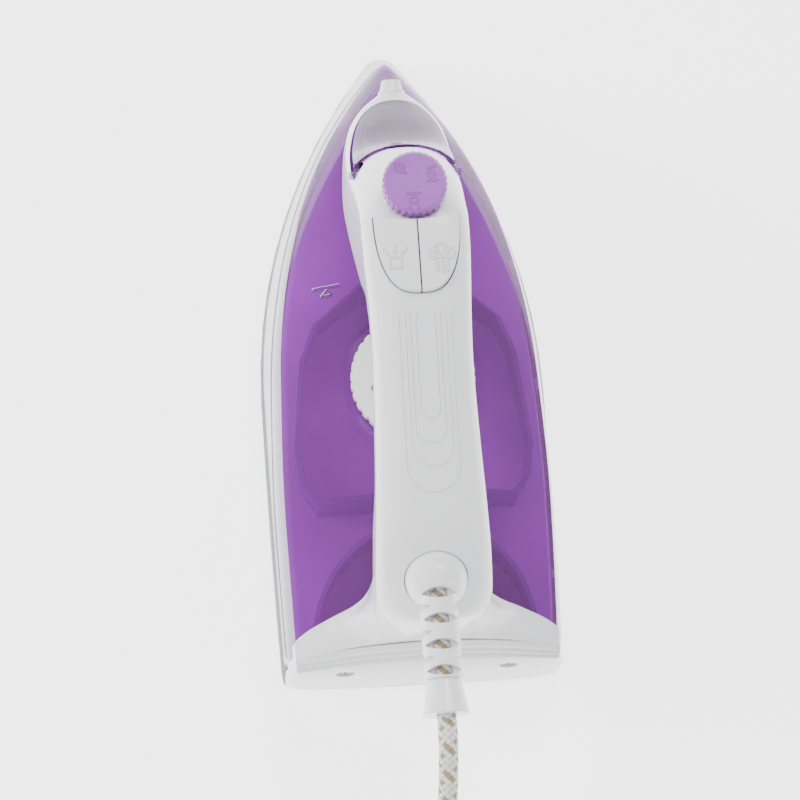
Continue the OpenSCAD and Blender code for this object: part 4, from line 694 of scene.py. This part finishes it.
def stations(back, tip, r, half, steps=110):
    bend = fillet_start(half, tip, r)
    even = [back + (bend - back) * i / steps for i in range(steps + 1)]
    close = [bend + (tip - bend) * math.sin(math.radians(90 * i / 12)) for i in range(1, 12)]
    return even + close + [bend + (tip - bend) * 0.9995]


def outline_points(back, half, tip, r, waist=0, fine=5):
    ys = stations(back + REAR_CORNER + REAR_BULGE, tip, r, half)
    right = [(outline_half(y, half, tip, r, waist), y) for y in ys]
    left = [(-x, y) for x, y in reversed(right)]
    edge_half = right[0][0]
    edge = []
    for i in range(1, 180 // fine):
        t = math.radians(180 - fine * i)
        c, s = math.cos(t), math.sin(t)
        u = math.copysign(abs(c) ** (2 / REAR_POWER), c)
        rise = REAR_CORNER * (1 - s ** (2 / REAR_POWER)) + REAR_BULGE * u * u
        edge.append((edge_half * u, back + rise))
    return right + left + edge

def cut_all(piece, cutters):
    for cutter in cutters:
        boolean(piece, cutter)


# ---- Water tank and skirt --------------------------------------------------------------------

CROWN_POWER = 2.4
RECESS_R = DIAL_D / 2 + 3.2
SIDE_STEPS, TOP_STEPS = 6, 18


def tank_profile(y, d):
    foot = max(0.6, outline_half(y, TANK_HALF_W, TANK_TIP_Y, TANK_TIP_R, TANK_WAIST) - d)
    lean = SIDE_LEAN * min(1, foot / 20)
    crest = max(0.4, foot - lean)
    crease = curve(CREASE_KEYS, y) - d
    crown = max(crease + 0.3, curve(CROWN_KEYS, y) - d)
    low = SKIRT_TOP - (1 if d > 0 else 0)
    side = []
    for i in range(SIDE_STEPS):
        s = i / SIDE_STEPS
        side.append((foot - (foot - crest) * s**1.74, low + (crease - low) * s))
    top = []
    for i in range(TOP_STEPS + 1):
        u = math.cos(math.pi / 2 * i / TOP_STEPS)
        top.append((crest * max(0, u), crease + (crown - crease) * (1 - max(0, u) ** CROWN_POWER)))
    return side + top


def tank_solid(name, d=0.0):
    tip = TANK_TIP_Y - 1.4 * d
    return loft(name, [
        mirrored_ring(y, tank_profile(y + (TANK_TIP_Y - tip) * max(0, y / tip), d))
        for y in stations(TANK_BACK_Y + d, tip, TANK_TIP_R, TANK_HALF_W)
    ])


def upright_rod(name, x, y, low, high, radius):
    return rod(name, (x, y, low), (x, y, high), radius)


def tilted(origin, angle):
    """Turns a point given along a sloping seat into the row frame."""
    turn = Matrix.Translation(origin) @ Matrix.Rotation(math.radians(angle), 4, "X")
    return lambda x, y, z: tuple(turn @ Vector((x, y, z)))


AT_INLET = tilted((0, INLET_Y, INLET_Z), -INLET_SLOPE)
AT_NOZZLE = tilted((0, HOUSING_FRONT_Y, NOZZLE_Z), NOZZLE_LEAN - 90)
AT_BALL = tilted((0, BALL_Y, BALL_Z), SEAT_TILT)


def make_tank():
    tank = tank_solid("water_tank")
    inner = tank_solid("tank_inside", TANK_WALL)
    boolean(inner, upright_rod("plug", 0, DIAL_Y, DIAL_RECESS_Z - TANK_WALL, ABOVE_TANK, RECESS_R + 2))
    cut_all(tank, [
        inner,
        upright_rod("recess", 0, DIAL_Y, DIAL_RECESS_Z, ABOVE_TANK, RECESS_R),
        upright_rod("spindle_hole", 0, DIAL_Y, SKIRT_TOP, ABOVE_TANK, SPINDLE_D / 2 + 1.5),
        upright_rod("seal_hole", 0, KNOB_Y, TANK_FLOOR_Z, ABOVE_TANK, SEAL_HOLE_R),
        upright_rod("wire_hole", 0, TUNNEL_Y, TANK_FLOOR_Z, ABOVE_TANK, WIRE_HOLE_R),
        upright_rod("suction_left", -SUCTION_X, PUMP_Y, TANK_FLOOR_Z, ABOVE_TANK, SUCTION_HOLE_R),
        upright_rod("suction_right", SUCTION_X, PUMP_Y, TANK_FLOOR_Z, ABOVE_TANK, SUCTION_HOLE_R),
        rod("inlet_hole", AT_INLET(0, 0, -31), AT_INLET(0, 0, -1), INLET_NECK_R),
    ])
    complete(tank, TANK, "iron", "tank_shell", angle=28)


def make_skirt():
    rings = []
    for t in (0, 0.03, 0.25, 0.5, 0.75, 0.85, 0.97, 1):
        half = SKIRT_FOOT[0] + (SKIRT_HEAD[0] - SKIRT_FOOT[0]) * t
        tip = SKIRT_FOOT[1] + (SKIRT_HEAD[1] - SKIRT_FOOT[1]) * t
        z = SKIRT_BOTTOM + (SKIRT_TOP - SKIRT_BOTTOM) * t
        outline = outline_points(SKIRT_BACK_Y, half, tip, SOLE_TIP_R - 1.5 * t, TANK_WAIST * t)
        rings.append([(x, y, z) for x, y in outline])
    skirt = loft("grey_skirt", rings)
    inside = outline_points(SKIRT_BACK_Y + SKIRT_WALL, TANK_HALF_W - SKIRT_WALL - 1, TANK_TIP_Y - 6, 5)
    cut_all(skirt, [
        prism("skirt_inside", inside, SKIRT_BOTTOM - 1, SKIRT_TOP + 4),
        prism("casting_room", outline_points(REAR_Y + 10.6, 51.9, TIP_Y - 8.4, SOLE_TIP_R), 4, 12.4),
    ])
    complete(skirt, GREY, "iron", "skirt")


# ---- Handle ----------------------------------------------------------------------------------

def handle_top(y):
    return curve(HANDLE_TOP_KEYS, y)


def handle_half(y):
    return curve(HANDLE_HALF_KEYS, y)


def parting_z(y):
    return handle_top(y) - PARTING_DEPTH


def shell_foot(y, d):
    """Foot of the upper shell: on the tank in both columns, at the joint line over the grip."""
    if y > FRONT_ARCH_Y + d:
        share = (FRONT_FOOT_Y + d - y) / (FRONT_FOOT_Y - FRONT_ARCH_Y)
        return max(COLUMN_FOOT_Z, COLUMN_FOOT_Z + (parting_z(FRONT_ARCH_Y) - COLUMN_FOOT_Z) * share)
    if y < REAR_ARCH_Y - d:
        share = (y - REAR_FOOT_Y + d) / (REAR_ARCH_Y - REAR_FOOT_Y)
        return max(COLUMN_FOOT_Z, COLUMN_FOOT_Z + (parting_z(REAR_ARCH_Y) - COLUMN_FOOT_Z) * share)
    return parting_z(y) - (1 if d > 0 else 0)


def handle_profile(y, foot, d):
    half = max(0.5, handle_half(y) - d)
    foot_half = max(0.5, curve(FOOT_HALF_KEYS, y) - d)
    top = handle_top(y) - d
    drop = curve(DROP_KEYS, y) - d * 0.4
    low = min(foot, top - drop - 0.5)
    spread = (top - drop - low) / (top - drop - COLUMN_FOOT_Z)
    side = []
    for i in range(4):
        share = 1 - i / 4
        side.append((half + (foot_half - half) * spread * share, top - drop - (top - drop - low) * share))
    return side + shoulder(half, top, drop, curve(POWER_KEYS, y))


HANDLE_STATIONS = finer([
    COLUMN_BACK_Y, COLUMN_BACK_Y + 0.5, COLUMN_BACK_Y + 1.5, COLUMN_BACK_Y + 4, COLUMN_BACK_Y + 8, BALL_Y,
    BALL_Y + 12, REAR_FOOT_Y, REAR_FOOT_Y + 7, REAR_ARCH_Y, FRONT_ARCH_Y, FRONT_ARCH_Y + 8, FRONT_FOOT_Y,
    BUTTON_FRONT_Y, KNOB_Y, PIVOT_Y, SLOPE_TOP_Y, INLET_Y, COVER_FRONT_Y, COVER_FRONT_Y + 3,
    HOUSING_FRONT_Y,
], 2.0)


def handle_solid(name):
    return loft(name, [
        mirrored_ring(y, handle_profile(y, shell_foot(y, 0), 0)) for y in HANDLE_STATIONS
    ])


def handle_hollow(name):
    d = HANDLE_WALL
    low, high = COLUMN_BACK_Y + d, HOUSING_FRONT_Y - d
    ys = {y for y in HANDLE_STATIONS if low + 1 < y < high - 1}
    ys |= {FRONT_ARCH_Y + d + 0.01, REAR_ARCH_Y - d - 0.01, FRONT_FOOT_Y + d, REAR_FOOT_Y - d, low, high}
    rings = []
    for y in sorted(ys):
        cut = 12 if y > FRONT_FOOT_Y or y < REAR_FOOT_Y else 0
        rings.append(mirrored_ring(y, handle_profile(y, shell_foot(y, d) - cut, d)))
    return loft(name, rings)


def tank_height(x, y):
    crest = max(1, outline_half(y, TANK_HALF_W, TANK_TIP_Y, TANK_TIP_R) - SIDE_LEAN)
    crease = curve(CREASE_KEYS, y)
    share = 1 - min(1, abs(x) / crest) ** CROWN_POWER
    return crease + (curve(CROWN_KEYS, y) - crease) * share


def wing_profile(y, steps=18):
    outer = curve(WING_KEYS, y)
    inner = min(max(handle_half(y), GRIP_HALF_W), outer - 0.5)
    fillet = curve(FILLET_KEYS, y)
    points = [(outer, SKIRT_TOP + 3)]
    for i in range(steps + 1):
        s = (1 - i / steps) ** 1.5
        x = inner + (outer - inner) * s
        points.append((x, tank_height(x, y) + WING_LIFT + fillet * (1 - s) ** 3))
    return points + [(0, tank_height(0, y) + WING_LIFT + fillet + 1)]


def body_envelope(name):
    """Outer faces of the skirt, leaning inwards above it as the tank's side walls do."""
    head_half = TANK_HALF_W - SIDE_LEAN + 0.5
    levels = (
        (SKIRT_BOTTOM, SKIRT_FOOT[0]), (SKIRT_TOP, SKIRT_HEAD[0]),
        (CREASE_Z - 4, head_half), (BODY_TOP_Z, head_half),
    )
    rings = []
    for z, half in levels:
        rings.append([(x, y, z) for x, y in outline_points(REAR_Y, half, SKIRT_FOOT[1], SOLE_TIP_R)])
    return loft(name, rings)


def make_wings():
    wings = loft("wings", [
        mirrored_ring(y, wing_profile(y)) for y in finer([REAR_Y + 5, REAR_Y + 25, REAR_Y + 46], 1.0)
    ])
    boolean(wings, body_envelope("envelope"), "INTERSECT")
    return wings


def super_arc(half_x, power_x, centre_y, reach, power_y, steps):
    points = []
    for i in range(steps + 1):
        t = math.pi * i / steps
        c = math.cos(t)
        x = half_x * math.copysign(abs(c) ** power_x, c)
        points.append((x, centre_y + reach * max(0, math.sin(t)) ** power_y))
    return points


def visor(name, grow, low=VISOR_CUT_Z, high=VISOR_CUT_Z + 60):
    """Plan of the fill cover: round in front, hollow behind round the knob."""
    half = VISOR_HALF_W + grow
    outline = super_arc(half, 0.75, PIVOT_Y, COVER_FRONT_Y - PIVOT_Y + grow, 0.9, 64)
    outline += [(-half, PIVOT_Y - 1 - grow), (half, PIVOT_Y - 1 - grow)]
    piece = prism(name, outline, low, high)
    boolean(piece, upright_rod("visor_hollow", 0, KNOB_Y, low - 1, high + 1, VISOR_ARC_R - 2 * grow))
    return piece


def shield(name, grow, low, high):
    """Plan of the pair of buttons: a round lower end and a hollow upper edge."""
    half = BUTTON_HALF_W + grow
    outline = super_arc(half, 0.72, BUTTON_FRONT_Y, -BUTTON_L - grow, 0.9, 64)
    outline += [(-half, BUTTON_FRONT_Y + grow), (half, BUTTON_FRONT_Y + grow)]
    piece = prism(name, outline, low, high)
    arc_y = BUTTON_FRONT_Y + SHIELD_ARC_R - 2.4
    boolean(piece, upright_rod("shield_hollow", 0, arc_y, low - 1, high + 1, SHIELD_ARC_R - grow))
    return piece


def heel_edge_y(x):
    u = min(1, abs(x) / HEEL_HALF)
    corner = 4.5 * (1 - max(0, 1 - u**REAR_POWER) ** (1 / REAR_POWER))
    return min(REAR_Y + corner + REAR_BULGE * u * u, TANK_BACK_Y - 2.2)


def heel_lean(x):
    return 5.2 - 4.2 * (x / HEEL_HALF) ** 2


def seam_y(x):
    return COLUMN_BACK_Y - 3.2 * (x / 50) ** 2


def behind_seam(name, low, high, gap):
    line = [(x, seam_y(x) + gap) for x in range(-60, 61, 2)]
    return prism(name, line + [(70, REAR_Y - 10), (-70, REAR_Y - 10)], low, high)


def make_handle_shell():
    shell = handle_solid("white_handle")
    boolean(shell, make_wings(), "UNION")
    boolean(shell, handle_hollow("handle_inside"))
    boss_z = KNOB_SEAT_Z - MOVING_GAP - KNOB_BOSS_H
    boolean(shell, upright_rod("knob_boss", 0, KNOB_Y, boss_z, boss_z + KNOB_BOSS_H, KNOB_BOSS_R), "UNION")
    pin_r = PIVOT_D / 2 + SHAFT_GAP
    pin_reach = VISOR_HALF_W + PIVOT_REACH
    ear_reach = VISOR_HALF_W + COVER_GAP / 2
    cut_all(shell, [
        tank_solid("tank_room"),
        behind_seam("heel_room", 0, SEAM_Z, FIT_GAP),
        visor("visor_room", COVER_GAP),
        rod("ear_room", (-ear_reach, PIVOT_Y, PIVOT_Z), (ear_reach, PIVOT_Y, PIVOT_Z), EAR_ROOM_R),
        rod("pin_room", (-pin_reach, PIVOT_Y, PIVOT_Z), (pin_reach, PIVOT_Y, PIVOT_Z), pin_r),
        shield("shield_room", MOVING_GAP, BUTTON_WELL_Z - 6, BUTTON_WELL_Z + 34),
        upright_rod("knob_bore", 0, KNOB_Y, 0, ABOVE_HANDLE, KNOB_BORE_R + SHAFT_GAP),
        upright_rod("knob_room", 0, KNOB_Y, KNOB_SEAT_Z - MOVING_GAP, BODY_TOP_Z, KNOB_R + 0.6),
        rod("nozzle_bore", AT_NOZZLE(0, 0, -9), AT_NOZZLE(0, 0, 1), NOZZLE_STUB_R),
        rod("nozzle_seat", AT_NOZZLE(0, 0, 0), AT_NOZZLE(0, 0, 9), NOZZLE_RIM_R),
        rod("ball_room", AT_BALL(0, 0, -20), AT_BALL(0, 0, 20), BALL_D / 2 + 0.3),
    ])
    complete(shell, WHITE_GRIP, "iron", "handle_shell", angle=30)


GRIP_POWER = 2.7


def grip_profile(y, d):
    half = handle_half(y) - d
    low, high = handle_top(y) - GRIP_DEPTH + d, parting_z(y) + (1 if d > 0 else 0)
    drop = 9 - d
    points = []
    for i in range(19):
        t = math.radians(5 * i)
        x = max(0.4, half * math.sin(t) ** (2 / GRIP_POWER))
        points.append((x, low + drop - drop * max(0, math.cos(t)) ** (2 / GRIP_POWER)))
    return points + [(half, high), (0, high)]


def make_grip():
    ys = finer([REAR_ARCH_Y - 13, FRONT_ARCH_Y + 11], 2.0)
    grip = loft("white_grip", [mirrored_ring(y, grip_profile(y, 0)) for y in ys])
    boolean(grip, loft("grip_inside", [mirrored_ring(y, grip_profile(y, HANDLE_WALL)) for y in ys]))
    boolean(grip, handle_solid("shell_room"))
    for y in (FRONT_ARCH_Y - 9, REAR_ARCH_Y + 9):
        low = handle_top(y) - GRIP_DEPTH
        boolean(grip, upright_rod("screw_well", 0, y, low - 1, low + 4, 3.5))
    complete(grip, WHITE, "iron", "handle_grip")


def heel_ring(x):
    back, front = heel_edge_y(x), SKIRT_BACK_Y - 0.1
    lean = heel_lean(x)
    edge_z = CREASE_Z - 1 - 5 * (x / HEEL_HALF) ** 2
    seam = max(seam_y(x), back + lean + 1.5)
    crest = tank_height(min(abs(x), 51), TANK_BACK_Y) + 3.5
    step = max(0.9, crest - edge_z) / 3
    run = (seam - back - lean) / 3
    ring = [
        (front, SKIRT_BOTTOM), (back + 1.2, SKIRT_BOTTOM), (back, SKIRT_BOTTOM + 2),
        (back + 0.4 * lean, edge_z * 0.6), (back + 0.8 * lean, edge_z - 1.2), (back + lean, edge_z),
        (back + lean + run * 0.6, edge_z + step * 0.2), (back + lean + run * 0.8, edge_z + step),
        (back + lean + run * 1.5, edge_z + step * 1.3), (back + lean + run * 1.7, edge_z + step * 2.1),
        (seam - 0.3, edge_z + 3 * step - 0.3), (seam, edge_z + 3 * step - 0.6),
        (seam, edge_z - 4.5), (front, edge_z - 6),
    ]
    return [(x, y, z) for y, z in ring]


def make_heel():
    rings = []
    for i in range(91):
        c = math.cos(math.pi * (1 - i / 90))
        rings.append(heel_ring(HEEL_HALF * math.copysign(abs(c) ** (2 / REAR_POWER), c) * 0.9999))
    heel = loft("white_heel", rings)
    boolean(heel, body_envelope("envelope"), "INTERSECT")
    boolean(heel, behind_seam("seam_face", 0, BODY_TOP_Z, 0), "INTERSECT")
    boolean(heel, tank_solid("tank_room"))
    for side in (-1, 1):
        x, z = side * HEEL_SCREW_X, HEEL_SCREW_Z
        boolean(heel, rod("well", (x, REAR_Y - 1, z), (x, REAR_Y + 5, z), 3.7))
        boolean(heel, rod("hole", (x, REAR_Y - 1, z), (x, REAR_Y + 29, z), HEEL_SCREW_D / 2))
    complete(heel, HEEL_WHITE, "iron", "heel_cover")


def cover_loft(name, d):
    ys = finer([PIVOT_Y - 3, PIVOT_Y, SLOPE_TOP_Y, COVER_FRONT_Y + 2], 1.0)
    return loft(name, [mirrored_ring(y, handle_profile(y, VISOR_CUT_Z - 2, d)) for y in ys])


def make_cover():
    cover = cover_loft("smoked_cover", -COVER_RISE)
    boolean(cover, cover_loft("cover_inside", COVER_T - COVER_RISE))
    boolean(cover, visor("visor_edge", 0), "INTERSECT")
    for side in (-1, 1):
        x = side * (VISOR_HALF_W - 1)
        ear = rod("ear", (x - 1, PIVOT_Y, PIVOT_Z), (x + 1, PIVOT_Y, PIVOT_Z), PIVOT_D / 2 + 1)
        arm = [(x - 1, PIVOT_Y), (x + 1, PIVOT_Y), (x + 1, PIVOT_Y + 4.6), (x - 1, PIVOT_Y + 4.6)]
        start = side * (VISOR_HALF_W - 2)
        end = start + side * (2 + PIVOT_REACH)
        pin = rod("pin", (start, PIVOT_Y, PIVOT_Z), (end, PIVOT_Y, PIVOT_Z), PIVOT_D / 2)
        boolean(cover, ear, "UNION")
        boolean(cover, prism("arm", arm, PIVOT_Z - 1.7, PIVOT_Z + 0.7), "UNION")
        boolean(cover, pin, "UNION")
    complete(cover, SMOKE, "cover", "fill_cover")


def make_button(name, side, body, node):
    ys = finer([BUTTON_FRONT_Y - BUTTON_L - 2, BUTTON_FRONT_Y + 2], 1.0)
    key = loft(name, [mirrored_ring(y, handle_profile(y, BUTTON_WELL_Z - 10, -BUTTON_PROUD)) for y in ys])
    boolean(key, shield("key_edge", 0, BUTTON_WELL_Z, BUTTON_WELL_Z + 40), "INTERSECT")
    near, far = side * 0.25, side * 40
    half_plane = [(near, -60), (far, -60), (far, 60), (near, 60)]
    boolean(key, prism("key_half", half_plane, 100, 170), "INTERSECT")
    plunger = upright_rod(
        "plunger_hole", side * SUCTION_X, PUMP_Y, BUTTON_WELL_Z - 1, BUTTON_WELL_Z + 3, PLUNGER_D / 2
    )
    boolean(key, plunger)
    complete(key, WHITE_KEYS, body, node)


# ---- Mains lead --------------------------------------------------------------------------------

CORD_EXIT = (0, BALL_Y - GUARD_L - 1.6, BALL_Z + GUARD_RISE)
CORD_POINTS = [
    CORD_EXIT, (0, CORD_EXIT[1] - 8, CORD_EXIT[2]), (-0.6, -180, 103), (-1.6, -195, 96),
    (-2.8, -208, 82), (-3.4, -214, 65), (-3.8, -217, 47), (-4, -222, 29), (-4.2, -231, 15),
    (-4.4, -244, 6.5), (-4.2, -257, 4.4), (-2.4, -270, 4.4), (-0.4, -281, 4.4),
]
COIL_ROW_Z = [TIE_T + CORD_D * (row + 0.5) for row in range(COIL_ROWS)]
OUTER_R, INNER_R = COIL_MID_R + CORD_D / 2, COIL_MID_R - CORD_D / 2
SHIFT = 60  # degrees that a change of radius or row takes
RISE_BULGE = 2.5  # how far the lead swings out of line as it climbs to the next row
# One turn each: radius and row at its start, and the radius and row that its last part shifts to.
COIL_TURNS = [
    (OUTER_R, 0, INNER_R, 0), (INNER_R, 0, INNER_R, 1), (INNER_R, 1, OUTER_R, 1),
    (OUTER_R, 1, OUTER_R, 2), (OUTER_R, 2, INNER_R, 2),
]
TAIL = [
    (200, INNER_R, 18.8), (240, INNER_R, 18.8), (270, INNER_R, 18.8), (286, INNER_R + 0.3, 19.4),
    (300, 38.6, 23.2), (313, 43.4, 26.2), (326, 49.0, 26.2), (338, 53.0, 23.8), (350, 54.0, 20.6),
]


def on_circle(angle, radius, z):
    a = math.radians(angle)
    return (COIL_CENTRE[0] + radius * math.cos(a), COIL_CENTRE[1] + radius * math.sin(a), z)


def coil_points(step=12):
    points = []
    for r_a, row_a, r_b, row_b in COIL_TURNS:
        for angle in range(0, 360, step):
            share = max(0, (angle - 360 + SHIFT) / SHIFT)
            ease = share * share * (3 - 2 * share)
            bulge = RISE_BULGE * math.sin(math.pi * share) * (row_a != row_b) * (1 if r_a == OUTER_R else -1)
            z = COIL_ROW_Z[row_a] + (COIL_ROW_Z[row_b] - COIL_ROW_Z[row_a]) * ease
            points.append(on_circle(180 + angle, r_a + (r_b - r_a) * ease + bulge, z))
    return points


def smooth_run(points, steps):
    """Catmull-Rom curve through the points."""
    out = []
    for i in range(len(points) - 1):
        a, b = Vector(points[max(i - 1, 0)]), Vector(points[i])
        c, d = Vector(points[i + 1]), Vector(points[min(i + 2, len(points) - 1)])
        for s in range(steps):
            t = s / steps
            out.append(0.5 * (
                2 * b + (c - a) * t + (2 * a - 5 * b + 4 * c - d) * t**2 + (3 * b - a - 3 * c + d) * t**3
            ))
    return out + [Vector(points[-1])]


def lead_tube(name, path, radius, sides=24):
    """Tube whose UV map runs round it from 0 to 1 and along it in millimetres."""
    points, along, travelled = [], [], 0.0
    side = Vector((1, 0, 0))
    for i, here in enumerate(path):
        heading = (path[min(i + 1, len(path) - 1)] - path[max(i - 1, 0)]).normalized()
        side = (side - heading * side.dot(heading)).normalized()
        other = heading.cross(side)
        travelled += (here - path[i - 1]).length if i else 0
        along.append(travelled)
        for k in range(sides):
            t = 2 * math.pi * k / sides
            points.append(tuple(here + radius * (side * math.cos(t) + other * math.sin(t))))
    faces, uvs = [], []
    for j in range(len(path) - 1):
        for i in range(sides):
            k = (i + 1) % sides
            faces.append((j * sides + i, j * sides + k, (j + 1) * sides + k, (j + 1) * sides + i))
            low, high, left, right = along[j], along[j + 1], i / sides, (i + 1) / sides
            uvs += [(left, low), (right, low), (right, high), (left, high)]
    last = (len(path) - 1) * sides
    faces += [tuple(range(sides - 1, -1, -1)), tuple(range(last, last + sides))]
    uvs += [(0.5, along[0])] * sides + [(0.5, along[-1])] * sides
    piece = mesh_object(name, points, faces)
    layer = piece.data.uv_layers.new(name="along")
    layer.data.foreach_set("uv", [value for uv in uvs for value in uv])
    return piece, travelled


def make_lead():
    tail = [on_circle(*stop) for stop in TAIL]
    tail += [(97.4, -295, 18.9), (97.4, -288.5, 18.5)]
    path = smooth_run(CORD_POINTS + coil_points() + tail, 3)
    lead, length = lead_tube("mains_lead", path, CORD_D / 2)
    complete(lead, BRAID, "iron", "cord_run", "cord_coil", angle=60)
    print("lead length in millimetres:", round(length))
    start = Vector((0, BALL_Y + 4, BALL_Z + GUARD_RISE))
    stub = [start + (Vector(CORD_EXIT) + Vector((0, 0.1, 0)) - start) * (i / 8) for i in range(9)]
    inside, _ = lead_tube("lead_in_guard", stub, CORD_D / 2)
    complete(inside, BRAID, "swivel_guard", "cord_in_guard", angle=60)


# ---- Smooth shading of the CAD pieces that are shown as they are --------------------------------

def smooth_group(angle):
    group = bpy.data.node_groups.new("smooth_by_angle", "GeometryNodeTree")
    group.interface.new_socket("Geometry", in_out="INPUT", socket_type="NodeSocketGeometry")
    group.interface.new_socket("Geometry", in_out="OUTPUT", socket_type="NodeSocketGeometry")
    start = group.nodes.new("NodeGroupInput")
    end = group.nodes.new("NodeGroupOutput")
    weld = add(group, "GeometryNodeMergeByDistance", {"Geometry": start.outputs[0], "Distance": 1e-6})
    faces = add(group, "GeometryNodeSetShadeSmooth", {"Geometry": weld.outputs[0]}, domain="FACE")
    bend = add(group, "GeometryNodeInputMeshEdgeAngle").outputs["Unsigned Angle"]
    sharp = add(group, "FunctionNodeCompare", {0: bend, 1: math.radians(angle)}, operation="GREATER_THAN")
    edges = add(group, "GeometryNodeSetShadeSmooth", {
        "Geometry": faces.outputs[0], "Selection": sharp.outputs[0], "Shade Smooth": False,
    }, domain="EDGE")
    group.links.new(edges.outputs[0], end.inputs[0])
    return group


def smooth_cad(names):
    group = smooth_group(30)
    for name in names:
        nodes[name].modifiers.new("smooth", "NODES").node_group = group


make_tank()
make_skirt()
make_handle_shell()
make_grip()
make_heel()
make_cover()
make_button("spray_key", -1, "spray_plunger", "spray_button")
make_button("burst_key", 1, "burst_plunger", "burst_button")
make_lead()
smooth_cad([
    "sole_face", "steam_knob", "thermostat_dial", "cord_guard", "spray_nozzle", "nozzle_tip", "fill_funnel",
    "tank_floor", "plug_body", "plug_pins", "heating_base", "ball_socket",
])

floor = mesh_object("floor", [(-6000, -6000, 0), (6000, -6000, 0), (6000, 6000, 0), (-6000, 6000, 0)],
                    [(0, 1, 2, 3)])
floor.data.materials.append(floor_material())
